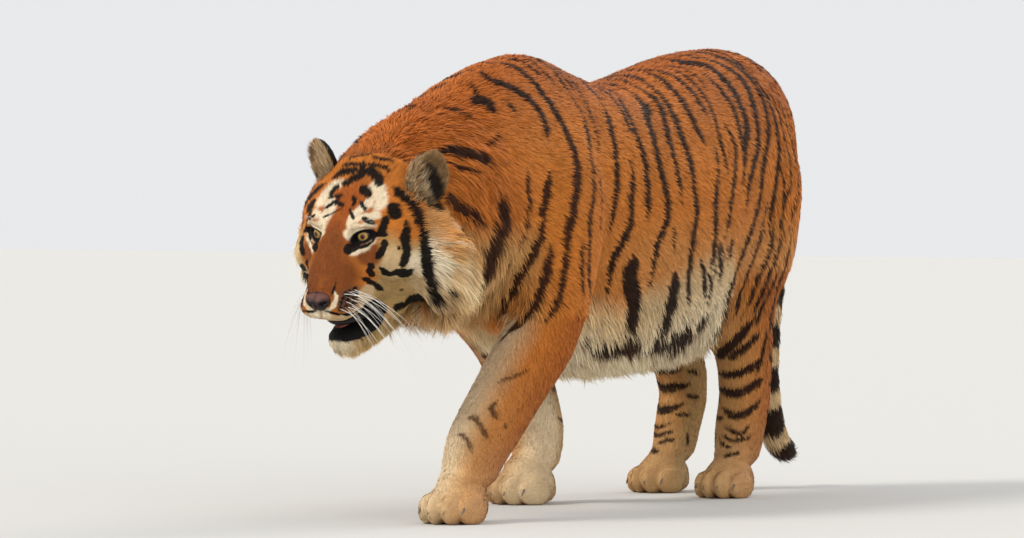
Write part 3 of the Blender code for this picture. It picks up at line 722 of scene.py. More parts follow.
# Pools of colour on the head: colour, middle, reach and how softly it ends, the same on both sides.
FACE_POOLS = (
    (TAN, (150, -100, -110), (60, 70, 120), 0.7),
    (CHEEK, (114, -24, -84), (46, 66, 84), 0.5),
    (CREAM, (128, -60, -150), (40, 44, 56), 0.7),
    (CHEEK, (80, 24, -122), (30, 50, 34), 0.6),
    (CHEEK, (86, -14, -152), (34, 46, 34), 0.6),
    (CREAM, (112, 2, -58), (24, 24, 36), 0.8),
    (ORANGE, (126, -58, -4), (42, 36, 42), 0.9),
    (WHITE, (138, -36, -84), (18, 26, 32), 0.9),
    (WHITE, (160, -66, -78), (18, 26, 56), 0.9),
    (PALE_ORANGE, (176, -128, -30), (34, 56, 62), 0.9),
    (CREAM, (176, -112, -150), (30, 36, 46), 0.9),
    (DEEP_ORANGE, (0, -30, 30), (60, 90, 60), 1.0),
    (SADDLE, (0, 48, -18), (42, 94, 48), 0.8),
    (SADDLE, (32, 74, -52), (34, 54, 34), 0.8),
    (SADDLE, (76, 18, -30), (28, 28, 22), 0.7),
    (linear(96, 62, 42), (54, 92, -90), (24, 36, 20), 0.7),
    (CREAM, (64, 50, -102), (20, 28, 16), 0.7),
    (CREAM, (34, 104, -119), (38, 36, 14), 0.5),
    (CREAM, (56, 78, -124), (18, 36, 13), 0.6),
    (WHITE, (14, 128, -104), (15, 16, 14), 0.5),
    (CREAM, (0, 80, -208), (64, 70, 36), 0.3),
    (WHITE, (0, 106, -194), (44, 20, 22), 0.7),
    (CHEEK, (60, -20, -225), (90, 110, 50), 0.5),
)


def smooth_line(controls, between):
    """A Catmull-Rom curve through the controls."""
    c = np.vstack([2 * controls[0] - controls[1], controls, 2 * controls[-1] - controls[-2]])
    t = np.linspace(0, 1, between, endpoint=False)[:, None]
    pieces = [
        b + 0.5 * t * (n - a + t * (2 * a - 5 * b + 4 * n - m + t * (3 * b - a - 3 * n + m)))
        for a, b, n, m in zip(c, c[1:], c[2:], c[3:])
    ]
    return np.vstack(pieces + [controls[-1:]])


def stroke_cover(places, rough, controls, half, edge):
    """How far each place is covered, 0 to 1: within the half width of the line, which narrows over
    its last fifth at either end, with a rough soft edge."""
    line = smooth_line(np.asarray(controls, float), 5)
    reach = half * 1.5 + 2 * edge
    inside = np.all((places > line.min(0) - reach) & (places < line.max(0) + reach), axis=1)
    cover = np.zeros(len(places))
    near = np.flatnonzero(inside)
    if not len(near):
        return cover
    best = np.full(len(near), -1.0)
    p = places[near]
    count = len(line) - 1
    for k in range(count):
        step = line[k + 1] - line[k]
        t = np.clip((p - line[k]) @ step / max(step @ step, 1e-12), 0, 1)
        gap = np.linalg.norm(p - line[k] - t[:, None] * step, axis=1)
        far = (k + t) / count
        width = half * (0.30 + 0.70 * ramp(np.minimum(far, 1 - far), 0, 0.19))
        best = np.maximum(best, (width - gap) / edge)
    cover[near] = ramp(best + rough[near], -0.5, 0.5)
    return cover


def snapped(controls):
    """Places on the head, in millimetres along its axes, moved to the hide."""
    out = [hide_tree.find_nearest(Vector(place))[0] for place in from_head(np.array(controls) / 1000)]
    return in_head(np.array(out))


def on_hide(controls, swap):
    """Places on the left side, in centimetres, moved to the hide, or on the right for a swap, where
    the line of that side's leg is further along or back."""
    places = np.array(controls, float) / 100
    if swap:
        legs = ("foreleg_left", "foreleg_right") if places[0, 1] < 0 else ("hindleg_left", "hindleg_right")
        lines = [np.array(LEG_LINES[leg])[::-1] for leg in legs]
        here = [np.interp(places[:, 2], line[:, 0], line[:, 2]) for line in lines]
        shift = (here[1] - here[0]) * ramp(places[:, 1], -0.56, -0.42)
        places = places * (-1, 1, 1) + shift[:, None] * (0, 1, 0)
    return np.array([hide_tree.find_nearest(Vector(place))[0] for place in places])


LIMB_LINES = [
    (half / 1000, on_hide(line, swap))
    for half, *line in SHOULDER_STRIPES + THIGH_STRIPES
    for swap in (False, True)
]
FACE_LINES = [
    (half / 1000, snapped(line), both)
    for group, both in ((BROW_STROKES, False), (FACE_STROKES, True), (WHISKER_ROWS, True))
    for half, *line in group
]
LIP_LINES = [(half / 1000, snapped(line)) for half, *line in LIP_STROKES]
PALE_LINES = [(half / 1000, snapped(line)) for half, *line in PALE_STROKES]


# Where the pale belly begins: places along the trunk, and degrees from the spine there.
BELLY_EDGE = (
    (-0.40, -0.30, -0.15, -0.03, 0.06, 0.13, 0.22, 0.30, 0.36, 0.44),
    (170, 152, 137, 131, 127, 119, 110, 112, 138, 172),
)
LIP_BLACK = linear(10, 7, 7)
RING_SPACING = 0.092  # from one dark ring of the tail to the next
TAIL_TIP = 0.84  # where the black tip begins, along the tail's line


def poured(ground, colour, amount):
    """The ground moved towards a colour by the amount at each point, 0 to 1."""
    return ground + (colour - ground) * np.clip(amount, 0, 1)[:, None]


def both_sides(head):
    """Places on the head with its right side laid over its left."""
    return np.c_[np.abs(head[:, 0]), head[:, 1:]]


def on_trunk(points, parts):
    """Where the trunk's own stripes may lie."""
    return (parts != 1) & (parts != 2) & (points[:, 2] > STRIPES_FROM)


def trunk_ground(points, blotch):
    """Deep orange on the back and neck, paler on the flank, and cream to white below."""
    along, turn = trunk_place(points)
    edge = np.interp(along, *BELLY_EDGE) + 5 * blotch
    soft = 1 + 1.6 * ramp(along, 0.30, 0.44)
    ground = np.repeat(ORANGE[None], len(points), axis=0)
    for colour, amount in (
        (DEEP_ORANGE, 0.75 * ramp(turn + 12 * blotch, 50, 5)),
        (DEEP_ORANGE, 0.55 * ramp(along, -0.44, -0.58) * ramp(turn, 125, 90)),
        (PALE_ORANGE, 0.7 * ramp(turn, 85, 118) * ramp(along, -0.35, 0.1)),
        (CREAM, ramp(turn, edge - 7 * soft, edge + 9 * soft)),
        (WHITE, 0.6 * ramp(turn, edge + 8, edge + 26)),
        (TAN, 0.85 * ramp(along - 0.02 * blotch, -0.425, -0.50) * ramp(turn, 88, 116)),
        (CREAM, 0.8 * ramp(along, -0.50, -0.60) * ramp(turn, 120, 140)),
    ):
        ground = poured(ground, colour, amount)
    return ground


def leg_ground(points, number):
    """Orange outside, pale in front and inside, and paler towards the foot. The foreleg's front edge
    is nearly white."""
    fore = number < 5
    angle, _ = leg_place(points, BODY_PARTS[number])
    height = points[:, 2]
    from_front = np.abs((angle + 315) % 360 - 180)
    inner = ramp(np.abs(angle + 10), 105, 135)
    front = ramp(-angle, 50, 96) if fore else 0.6 * ramp(-angle, 40, 95)
    # The tan low on the legs and on the hind leg's front is partly the legs' own paler hair and partly
    # painted shade that dulls the orange.
    tan = 0.40 * ramp(height, 0.36, 0.14) if fore else 0.45 * ramp(height, 0.50, 0.30)
    colour = poured(np.repeat(ORANGE[None], len(points), axis=0), TAN, tan)
    colour = poured(colour, DEEP_ORANGE, 0.6 * ramp(angle, -70, 20))
    colour = poured(colour, CREAM if fore else TAN, 0.8 * front + 0.9 * inner)
    colour = poured(colour, WHITE, 0.6 * fore * ramp(from_front, 63, 27))
    return poured(colour, CREAM, 0.45 * ramp(height, 0.20, 0.0))


def face_ground(ground, face, head, blotch, patch):
    """The pools of colour on the head, and the streaks of umber and white that run down the ruff: partly the
    hair's colour, partly painted shade between its locks and painted light on them.
    """
    mirror = both_sides(head)
    ground = poured(ground, ORANGE, face.astype(float))
    for colour, pool_middle, reach, soft in FACE_POOLS:
        gap = np.linalg.norm((mirror * 1000 - pool_middle) / reach, axis=1) + 0.10 * blotch + 0.10 * patch
        ground = poured(ground, colour, face * ramp(gap, 1 + soft / 2, 1 - soft / 2))
    across, down = 0.8 * head[:, 2] - 0.6 * head[:, 1], -0.8 * head[:, 1] - 0.6 * head[:, 2]
    streak_light_and_shade = mottle(np.stack([across, 0.20 * down, 0.5 * head[:, 0]], 1), 0.011, 17)
    ruff = face * ramp(mirror[:, 0], 0.10, 0.14) * ramp(-head[:, 1], 0.05, 0.09)
    ruff = ruff * ramp(-head[:, 2], -0.03, 0.03)
    # Umber streaks are partly painted shade between the ruff's locks, and white streaks are partly painted
    # light on them.
    ground = poured(ground, UMBER, 0.50 * ruff * ramp(streak_light_and_shade, 0.15, 0.9))
    return poured(ground, WHITE, 0.45 * ruff * ramp(-streak_light_and_shade, 0.15, 0.9) * ramp(-head[:, 2], 0.0, 0.06))


def coat_stripes(points, parts, head, wander, rough):
    """How dark with stripes each point is, 0 to 1."""
    along, turn = trunk_place(points)
    trunk, face, tail = on_trunk(points, parts), parts == 1, parts == 2
    dark = np.zeros(len(points))
    shift = np.where(points[:, 0] < 0, 0.014 * mottle(points, 0.3, 9), 0)
    flat = np.stack([along + shift + wander, turn * ROUND_BODY + wander], 1)
    for half, *line in TRUNK_STRIPES:
        line = np.array(line) * (0.01, ROUND_BODY)
        dark = np.maximum(dark, trunk * stroke_cover(flat, rough, line, half / 1000, TRUNK_EDGE))
    patch = np.hypot((along - 0.235) / 0.055, (turn - 116) / 13)
    flecks = ramp(mottle(points, 0.011, 10) + 0.5 * mottle(points, 0.004, 13), 0.0, 0.35)
    dark = np.maximum(dark, 0.8 * trunk * flecks * ramp(patch, 1.1, 0.6))
    for half, line in LIMB_LINES:
        cover = stroke_cover(points + 0.5 * wander[:, None], rough, line, half, LEG_EDGE)
        dark = np.maximum(dark, (parts != 1) * cover)
    for leg in BODY_PARTS[3:]:
        angle, widths = leg_place(points, leg)
        hind = leg.startswith("hind")
        own_side = points[:, 0] * left_or_right(leg) > 0.0
        own = own_side & (widths < 1.45) & (points[:, 2] < 0.42) & ~tail
        flat = np.stack([angle * ROUND_LEG + wander, points[:, 2] + wander * 0.6], 1)
        for half, *line in HIND_STRIPES if hind else FORE_STRIPES:
            line = np.array(line) * (ROUND_LEG, 0.01)
            cover = stroke_cover(flat, rough, line, half / 1000, LEG_EDGE)
            dark = np.maximum(dark, own * cover * (1.0 if hind else 0.84))
    tail_along, _, _ = tail_place(points)
    rings = np.cos((tail_along + 0.004 * rough) * 2 * np.pi / RING_SPACING)
    ringed = ramp(rings - 0.15 + 0.5 * ramp(tail_along, 0.3, 0.8), -0.12, 0.12)
    ringed = ringed * np.maximum(ramp(behind_tail(points), -0.03, 0.0), ramp(tail_along, 0.35, 0.5))
    ringed = np.maximum(ringed, ramp(tail_along, TAIL_TIP - 0.005, TAIL_TIP + 0.005))
    dark = np.maximum(dark, tail * ringed * ramp(tail_along, 0.02, 0.08))
    mirror = both_sides(head)
    for half, line, both in FACE_LINES:
        cover = stroke_cover(mirror if both else head, 1.8 * rough, line, half, FACE_EDGE)
        dark = np.maximum(dark, face * cover)
    return dark


def lip_and_lid(points, parts, head, rough):
    """How black with lip or eyelid, or with painted shade inside the mouth, each point is, and how bare of
    hair, 0 to 1.
    """
    mirror, face = both_sides(head), parts == 1
    black, bare = np.zeros((2, len(points)))
    for half, line in LIP_LINES:
        black = np.maximum(black, face * stroke_cover(mirror, rough, line, half, LIP_EDGE))
        bare = np.maximum(bare, face * stroke_cover(mirror, rough, line, half - LIP_HAIR, LIP_EDGE))
    # The hide lying inside the mouth is painted black and bare: painted shade within the closed mouth.
    rise = head[:, 2] + 0.150 + 0.12 * (head[:, 1] - 0.09)
    inside = (parts < 2) * ramp(rise, 0.026, 0.019) * ramp(-rise, 0.036, 0.030)
    inside = inside * ramp(mirror[:, 0], 0.060, 0.054) * ramp(np.abs(head[:, 1] - 0.045), 0.076, 0.062)
    black, bare = np.maximum(black, inside), np.maximum(bare, inside * ramp(-rise, 0.030, 0.026))
    for centre, ahead, across, upright in sockets.values():
        off = points - centre
        a, b, h = off @ across, off @ upright, off @ ahead
        wide, tall = np.where(a < 0, 0.0205, 0.0200), np.where(b > 0, 0.0118, 0.0114)
        line = 1.45 - np.hypot(a / wide, (b - LID_SLANT * a) / tall)
        rim = face * (h > 0) * (np.abs(a) < 0.03)
        black = np.maximum(black, rim * ramp(line, 0.05, 0.25))
        bare = np.maximum(bare, rim * ramp(line, 0.20, 0.25))
    return black, bare


def coat_colour(points, parts):
    """The colour of the tiger at each point, and how bare of hair it is there."""
    along, turn = trunk_place(points)
    face = parts == 1
    wander = mottle(points, 0.16, 3) * 0.010 + mottle(points, 0.05, 4) * 0.003
    rough = 0.30 * mottle(points, 0.012, 5) + 0.22 * mottle(points, 0.004, 6)
    blotch = mottle(points, 0.09, 7)
    patch = mottle(points, 0.022, 8) + 0.5 * rough
    waver = [mottle(points, 0.020, seed) + 0.6 * mottle(points, 0.007, seed) for seed in (14, 15, 16)]
    head = in_head(points) + 0.0022 * np.stack(waver, 1)
    ground = trunk_ground(points, blotch)
    for number in range(3, 7):
        fade = ramp(points[:, 2], 0.46, 0.38) if number < 5 else ramp(points[:, 2], 0.52, 0.44)
        ground = poured(ground, leg_ground(points, number), (parts == number) * fade)
    tail_along, _, _ = tail_place(points)
    ground = poured(ground, CREAM, 0.9 * (parts == 2) * ramp(tail_along + 0.02 * blotch, 0.28, 0.5))
    ground = face_ground(ground, face, head, blotch, patch)
    for half, line in PALE_LINES:
        cover = stroke_cover(both_sides(head), rough, line, half, 0.009 if half > 0.006 else LIP_EDGE)
        ground = poured(ground, WHITE, face * cover)
    dark = coat_stripes(points, parts, head, wander, rough)
    black, bare = lip_and_lid(points, parts, head, rough)
    tone = mottle(points, 0.012, 11) * 0.5 + 0.5 * blotch
    foreleg = np.isin(parts, (3, 4)) * ramp(points[:, 2], 0.40, 0.34)
    shoulder = on_trunk(points, parts) * ramp(along, -0.24, -0.34) * ramp(turn, 30, 60)
    brown = (1 - 0.95 * face) * (0.28 + 0.45 * ramp(tone, 0.0, 0.9) + 0.35 * ramp(dark, 0.9, 0.3))
    stripe = BLACK + (BROWN - BLACK) * (brown + foreleg + 0.4 * shoulder)[:, None]
    colour = ground * (1 + 0.10 * blotch + 0.06 * mottle(points, 0.02, 12))[:, None]
    colour = poured(colour, stripe, dark * (0.985 + 0.015 * tone))
    return np.clip(poured(colour, LIP_BLACK, black), 0.002, 1), bare


hide_colours, hide_bare = coat_colour(points, parts)


def surface_object(name, points, faces, finish, colours=None):
    """A smooth mesh from arrays of places and of triangles or quads, with its finish and colours."""
    mesh = bpy.data.meshes.new(name)
    corners = faces.shape[1]
    mesh.vertices.add(len(points))
    mesh.vertices.foreach_set("co", np.ascontiguousarray(points, np.float32).ravel())
    mesh.loops.add(faces.size)
    mesh.loops.foreach_set("vertex_index", np.ascontiguousarray(faces, np.int32).ravel())
    mesh.polygons.add(len(faces))
    mesh.polygons.foreach_set("loop_start", np.arange(0, faces.size, corners, dtype=np.int32))
    mesh.update(calc_edges=True)
    mesh.polygons.foreach_set("use_smooth", np.ones(len(faces), bool))
    if colours is not None:
        layer = mesh.color_attributes.new("coat", "FLOAT_COLOR", "POINT")
        layer.data.foreach_set("color", np.c_[colours, np.ones(len(colours))].astype(np.float32).ravel())
    mesh.validate()
    mesh.materials.append(finish.material)
    made = bpy.data.objects.new(name, mesh)
    bpy.context.scene.collection.objects.link(made)
    return made


class Finish:
    """A node material round one Principled shader."""

    def __init__(self, name, **constants):
        self.material = bpy.data.materials.new(name)
        self.material.use_nodes = True
        self.nodes = self.material.node_tree.nodes
        self.shader = self.nodes["Principled BSDF"]
        for socket, value in constants.items():
            self.shader.inputs[socket.replace("_", " ")].default_value = value

    def node(self, kind, inputs=(), **settings):
        """A node with its settings, and its inputs as values or as the outputs they come from."""
        made = self.nodes.new(kind)
        for key, value in settings.items():
            setattr(made, key, value)
        for key, value in dict(inputs).items():
            if hasattr(value, "is_linked"):
                self.material.node_tree.links.new(value, made.inputs[key])
            else:
                made.inputs[key].default_value = value
        return made

    def paint(self):
        """The colour that each mesh carries at its points."""
        return self.node("ShaderNodeAttribute", attribute_name="coat").outputs["Color"]

    def link(self, output, socket):
        """An output into one of the shader's own inputs."""
        self.material.node_tree.links.new(output, self.shader.inputs[socket])


# Hide finish: the coat's own colour, a fine broken grain of hair laid along the body, and bump.
hide_finish = Finish("tiger hide", Roughness=0.75, Specular_IOR_Level=0.18)
hide_place = hide_finish.node("ShaderNodeTexCoord").outputs["Object"]
hide_stretch = hide_finish.node("ShaderNodeMapping", {"Vector": hide_place, "Scale": (1.0, 0.35, 0.6)})
hide_hairs = hide_finish.node(
    "ShaderNodeTexNoise", {"Vector": hide_stretch.outputs[0], "Scale": 900.0, "Detail": 3.0}
)
hide_shade = hide_finish.node(
    "ShaderNodeMapRange",
    {"Value": hide_hairs.outputs[0], "From Min": 0.3, "From Max": 0.7, "To Min": 0.72, "To Max": 1.15},
)
hide_mix = hide_finish.node(
    "ShaderNodeVectorMath", {0: hide_finish.paint(), 1: hide_shade.outputs[0]}, operation="MULTIPLY"
)
hide_finish.link(hide_mix.outputs[0], "Base Color")
hide_bump = hide_finish.node(
    "ShaderNodeBump", {"Height": hide_hairs.outputs[0], "Strength": 0.5, "Distance": 0.002}
)
hide_finish.link(hide_bump.outputs[0], "Normal")

tiger_hide = surface_object("tiger_hide", points, faces, hide_finish, hide_colours)
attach(tiger_hide, "root")
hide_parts(*FLESH)


# ---- The eyes -------------------------------------------------------------------------------------
# Glass eyes: amber irises with fine spokes, a dark rim and a round pupil, under a clear wet coat.
def ball_grid(rows, count):
    """A ball's places, each by its angle from the pole and its bearing round it, and its triangles."""
    tilt = np.linspace(0, np.pi, rows)[1:-1]
    turn = np.linspace(0, 2 * np.pi, count, endpoint=False)
    off, bearing = (grid.ravel() for grid in np.meshgrid(tilt, turn, indexing="ij"))
    off, bearing = np.r_[0, off, np.pi], np.r_[0, bearing, 0]
    i = np.arange(count)
    j = (i + 1) % count
    last = len(off) - 1
    near_pole = np.stack([0 * i, j + 1, i + 1], 1)
    far_pole = np.stack([0 * i + last, last - count + i, last - count + j], 1)
    return off, bearing, np.concatenate([split_quads(1 + ring_quads(rows - 2, count)), near_pole, far_pole])


def facing_out(points, faces, centre):
    """The faces, turned over if they look towards the centre."""
    return faces if (corner_normals(points, faces) * (points - centre)).sum() > 0 else faces[:, ::-1]


def eye_ball(name, centre, ahead, across, upright):
    """A ball in rings round the gaze; a shallow cornea swells in front of the iris."""
    off, bearing, faces = ball_grid(90, 128)
    radius = EYE_RADIUS - 0.0008 + 0.0011 * ramp(off, 0.80, 0.25)
    a, b, h = np.sin(off) * np.cos(bearing), np.sin(off) * np.sin(bearing), np.cos(off)
    ball = a[:, None] * across + b[:, None] * upright + h[:, None] * ahead
    points = centre + radius[:, None] * ball
    faces = facing_out(points, faces, centre)
    degrees = np.degrees(off)
    spokes = np.zeros(len(off))
    for drawn, size, seed in ((0.25, 0.09, 21), (0.2, 0.035, 22)):
        spokes += 0.5 * mottle(np.c_[np.cos(bearing), np.sin(bearing), off * drawn], size, seed)
    iris = poured(linear(138, 92, 36), linear(182, 144, 74), ramp(degrees, 14, 26))
    iris = iris * (1 + 0.6 * spokes)[:, None]
    iris = poured(iris, linear(96, 84, 44), 0.8 * ramp(degrees, 27, 36))
    colour = poured(iris, linear(18, 11, 7), ramp(degrees + 0.6 * spokes, 36.5, 39.5))
    colour = poured(colour, linear(110, 84, 66), 0.6 * ramp(degrees, 44, 54))
    colour = poured(colour, linear(4, 4, 5), ramp(degrees, 13.2, 11.8))
    return surface_object(name, points, faces, eye_finish, np.clip(colour, 0.001, 1))


eye_finish = Finish(
    "tiger eye glass", Roughness=0.35, Specular_IOR_Level=0.2, Coat_Weight=0.35, Coat_Roughness=0.02
)
eye_finish.link(eye_finish.paint(), "Base Color")
for eye, socket in sockets.items():
    ball = eye_ball("tiger_" + eye, *socket)
    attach(ball, "root")
    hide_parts(eye)

# ---- The nose -------------------------------------------------------------------------------------
# A pad of bare pebbled leather, broad above and narrow below, with comma nostrils and a split lip line.
NOSE_MIDDLE, NOSE_HALF = np.array((0.0, 0.1175, -0.081)), np.array((0.0300, 0.0165, 0.0205))
off, turn, nose_faces = ball_grid(72, 120)
wide = np.sign(np.cos(turn)) * np.abs(np.cos(turn)) ** 0.85 * np.sin(off)
tall = np.sign(np.sin(turn)) * np.abs(np.sin(turn)) ** 0.85 * np.sin(off)
wide = wide * (1 - 0.30 * ramp(-tall, 0.0, 1.0))
pad = np.stack([wide, np.cos(off), tall], 1) * NOSE_HALF
a, b = np.abs(pad[:, 0]) * 1000, pad[:, 2] * 1000
front = ramp(np.cos(off), 0.0, 0.3)
nostril = np.exp(-(((a - 13.0) / 4.0) ** 2) - ((b + 1.5 - 0.35 * (a - 13)) / 4.6) ** 2)
nostril = np.maximum(nostril, 0.85 * np.exp(-(((a - 19.5) / 4.2) ** 2) - ((b - 2.2) / 2.4) ** 2))
split = np.exp(-((a / 1.3) ** 2)) * ramp(-b, -6, 3)
crest = np.exp(-(((a - 9) / 4) ** 2 + ((b - 7) / 6) ** 2))
pad[:, 1] += 0.0024 * crest - 0.0095 * nostril * front - 0.003 * split * front
pad[:, 1] -= 0.007 * ramp(b, 6, 19) * front
nose_points = from_head(pad + NOSE_MIDDLE)
nose_faces = facing_out(nose_points, nose_faces, from_head(NOSE_MIDDLE))
pink = ramp(b + 3 * mottle(nose_points, 0.012, 31), 5, 14) * (1 - 0.6 * np.exp(-((a / 5) ** 2)))
nose_colour = poured(linear(34, 20, 19), linear(116, 64, 50), 0.65 * pink)
nose_colour = poured(nose_colour, LIP_BLACK, 1.7 * nostril * front + split * front)
nose_finish = Finish("tiger nose leather", Roughness=0.48, Specular_IOR_Level=0.3)
nose_place = nose_finish.node("ShaderNodeTexCoord").outputs["Object"]
nose_cells = nose_finish.node(
    "ShaderNodeTexVoronoi", {"Vector": nose_place, "Scale": 900.0}, feature="SMOOTH_F1"
)
nose_bump = nose_finish.node(
    "ShaderNodeBump", {"Height": nose_cells.outputs["Distance"], "Strength": 0.55, "Distance": 0.0012}
)
nose_finish.link(nose_finish.paint(), "Base Color")
nose_finish.link(nose_bump.outputs[0], "Normal")
tiger_nose = surface_object("tiger_nose", nose_points, nose_faces, nose_finish, nose_colour)
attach(tiger_nose, "root")
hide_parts("nose")

# ---- The mouth ------------------------------------------------------------------------------------
# The wet lining between the lips, painted near black for the shade inside the mouth, and the tongue that lies
# in it.
wet_finish = Finish("tiger mouth", Roughness=0.5, Specular_IOR_Level=0.3)
wet_finish.link(wet_finish.paint(), "Base Color")


def soft_lens(name, centre, half, colour, groove):
    """A flattened ball given in the head's axes, with a lengthwise groove along its top."""
    off, turn, faces = ball_grid(40, 64)
    lens = np.stack([np.sin(off) * np.cos(turn), np.cos(off), np.sin(off) * np.sin(turn)], 1) * half
    lens[:, 2] -= groove * np.exp(-((lens[:, 0] / 0.004) ** 2)) * (lens[:, 2] > 0)
    places = from_head(lens + centre)
    faces = facing_out(places, faces, from_head(centre))
    tint = colour * (1 + 0.25 * mottle(places, 0.006, 33))[:, None]
    made = surface_object(name, places, faces, wet_finish, np.clip(tint, 0.001, 1))
    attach(made, "root")
    return made


# The lining's near black colour is painted shade inside the closed mouth.
soft_lens("tiger_mouth_shade_lining", np.array((0, 0.030, -0.150)), (0.050, 0.060, 0.018), linear(14, 8, 8), 0)
soft_lens("tiger_tongue", np.array((0, 0.044, -0.161)), (0.021, 0.044, 0.0075), linear(120, 62, 54), 0.002)

# ---- The claws ------------------------------------------------------------------------------------
# Short horn tips, drawn back between the hairs of each toe: curved cones let into the toes.
rows, sides = 9, 10
fan = np.arange(1, sides - 1)
claw_net = np.concatenate([
    split_quads(ring_quads(rows, sides)),
    np.stack([0 * fan, fan + 1, fan], 1),
    (rows - 1) * sides + np.stack([0 * fan, fan, fan + 1], 1),
])
bend = np.linspace(0, 1, rows)[:, None]
way = np.radians(20 + 55 * bend)
thick = 0.0036 * (1 - bend) ** 0.6 + 0.0002
bearing = np.arange(sides) * 2 * np.pi / sides
hoop = [0.7 * np.cos(bearing) + 0 * way, -np.sin(bearing) * np.sin(way), np.sin(bearing) * np.cos(way)]
claw_points, claw_faces = [], []
for x, y, toes_out, size in PAWS.values():
    for (out, back, _), _, _ in PAW_FORMS[2:]:
        line = [out + 0 * bend, back - 0.026 - 0.019 * np.sin(way), 0.014 + 0.019 * np.cos(way)]
        claw = np.concatenate(line, 1)[:, None] + thick[:, None] * np.stack(hoop, 2)
        claw_faces.append(len(claw_points) * rows * sides + claw_net)
        claw_points.append(turned(claw.reshape(-1, 3) * size, np.radians(toes_out)) + (x, y, 0))
claw_finish = Finish("tiger claw", Base_Color=(0.16, 0.12, 0.09, 1), Roughness=0.35, Specular_IOR_Level=0.5)
tiger_claws = surface_object("tiger_claws", np.vstack(claw_points), np.vstack(claw_faces), claw_finish)
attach(tiger_claws, "root")

# ---- The ears -------------------------------------------------------------------------------------
# Rounded cups: black behind with a pale spot, pale inside with painted shade darkening the hollow.
EAR_FACING = {"ear_left": (0.79, 0.61, 0.05), "ear_right": (-0.44, 0.90, 0.05)}
ears = {}
for ear, facing in EAR_FACING.items():
    cup = square_wrap([ear], 0.0030)
    bmesh.ops.triangulate(cup, faces=cup.faces[:])
    cup_points, cup_edges, cup_faces = mesh_arrays(cup)
    cup_faces = cup_faces.reshape(-1, 3)
    cup.free()
    cup_points = eased(cup_points, cup_edges, np.ones((len(cup_points), 1)), 5)
    cup_normals = corner_normals(cup_points, cup_faces)
    cup_points = cup_points - 0.0012 * cup_normals
    forward = unit(np.array(facing) @ HEAD_AXES)
    centre = middle(ear)
    upward = unit(HEAD_UP - forward * (HEAD_UP @ forward))
    sideways = np.cross(upward, forward)
    ears[ear] = (cup_points, cup_faces, cup_normals, centre, forward, upward, sideways)


def ear_colour(points, normals, ear):
    """Pale inside with painted shade darkening the hollow low down, tan along the rim, partly painted back
    light, and black behind with a pale spot.
    """
    _, _, _, centre, forward, upward, sideways = ears[ear]
    off = points - centre
    a, b, h = off @ sideways * 1000, off @ upward * 1000, normals @ forward
    speck = mottle(points, 0.006, 41)
    # The tan towards the rim is partly the ear's hair and partly painted back light.
    rim = ramp(np.hypot(a / 26, b / 40), 0.70, 1.0)
    inside = poured(linear(62, 53, 44), linear(146, 114, 76), rim) * (1 + 0.35 * speck)[:, None]
    # Painted shade: the hollow low in the cup is darkened where shade falls in it.
    hollow = ramp(np.hypot(a / 25, (b + 14) / 38) + 0.15 * speck, 1.12, 0.60)
    inside = poured(inside, linear(30, 22, 18), 0.95 * hollow)
    spot = ramp(np.hypot(a / 20, (b - 2) / 17) + 0.12 * speck, 1.05, 0.85)
    behind = poured(linear(22, 17, 15), linear(222, 210, 188), spot)
    behind = poured(behind, linear(166, 104, 50), ramp(b, -18, -42))
    return poured(behind, inside, ramp(h + 0.1 * speck, -0.15, 0.25))


for ear, (cup_points, cup_faces, cup_normals, *_) in ears.items():
    cup_colours = ear_colour(cup_points, cup_normals, ear)
    made = surface_object("tiger_" + ear, cup_points, cup_faces, hide_finish, cup_colours)
    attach(made, "root")
    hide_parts(ear)

# ---- The coat -------------------------------------------------------------------------------------
# Guard hair in thin tapering tufts that overlap and lie back along the body, as it grows: short and
# close on the face and feet, deep on the neck, the ruff round the jaw and the belly.
def hair_lie(points, parts):
    """The way the hair points at each place, before it is laid along the hide."""
    along, turn = trunk_place(points)
    head = in_head(points)
    side = np.sign(points[:, 0])
    flank, neck, rump = ramp(turn, 15, 80), ramp(along, -0.40, -0.60), ramp(along, 0.42, 0.62)
    chest = neck * ramp(turn, 95, 130)
    trunk = np.stack(
        [
            0.10 * side,
            1.0 - 0.35 * neck - 0.5 * rump - 0.5 * chest,
            -0.15 - 0.45 * flank - 0.25 * neck - 0.6 * rump - 0.6 * chest - 0.5 * ramp(turn, 120, 145),
        ],
        1,
    )
    leg = np.stack([0 * side, np.full(len(side), 0.22), np.full(len(side), -1.0)], 1)
    toe = np.stack([0 * side, np.full(len(side), -0.9), np.full(len(side), -0.5)], 1)
    leg = leg + (toe - leg) * ramp(points[:, 2], 0.10, 0.05)[:, None]
    _, _, tail_way = tail_place(points)
    tail = np.c_[np.zeros(len(points)), tail_way]
    left, ahead, up = head.T
    out = np.sign(left)
    cheek = ramp(np.abs(left), 0.045, 0.11)
    low = ramp(up, -0.02, -0.14)
    chin = ramp(up, -0.155, -0.19)
    face = np.stack(
        [
            out * (0.12 + 0.55 * cheek * (1 - 0.3 * low)),
            -1.0 + 0.35 * cheek * low + 1.15 * chin,
            0.25 * ramp(ahead, -0.02, 0.06) * (1 - low) - 0.15 * cheek - 0.75 * low * cheek - 1.0 * chin,
        ],
        1,
    )
    for centre, _, _, _ in sockets.values():
        off = head - in_head(centre[None])
        near = np.exp(-((np.linalg.norm(off, axis=1) / 0.034) ** 2))
        face += 1.6 * near[:, None] * unit(off)
    face = face @ HEAD_AXES
    lie = np.where((parts == 1)[:, None], unit(face), unit(trunk))
    lie = np.where((parts == 2)[:, None], unit(tail), lie)
    lie = np.where((parts >= 3)[:, None], unit(leg), lie)
    return lie


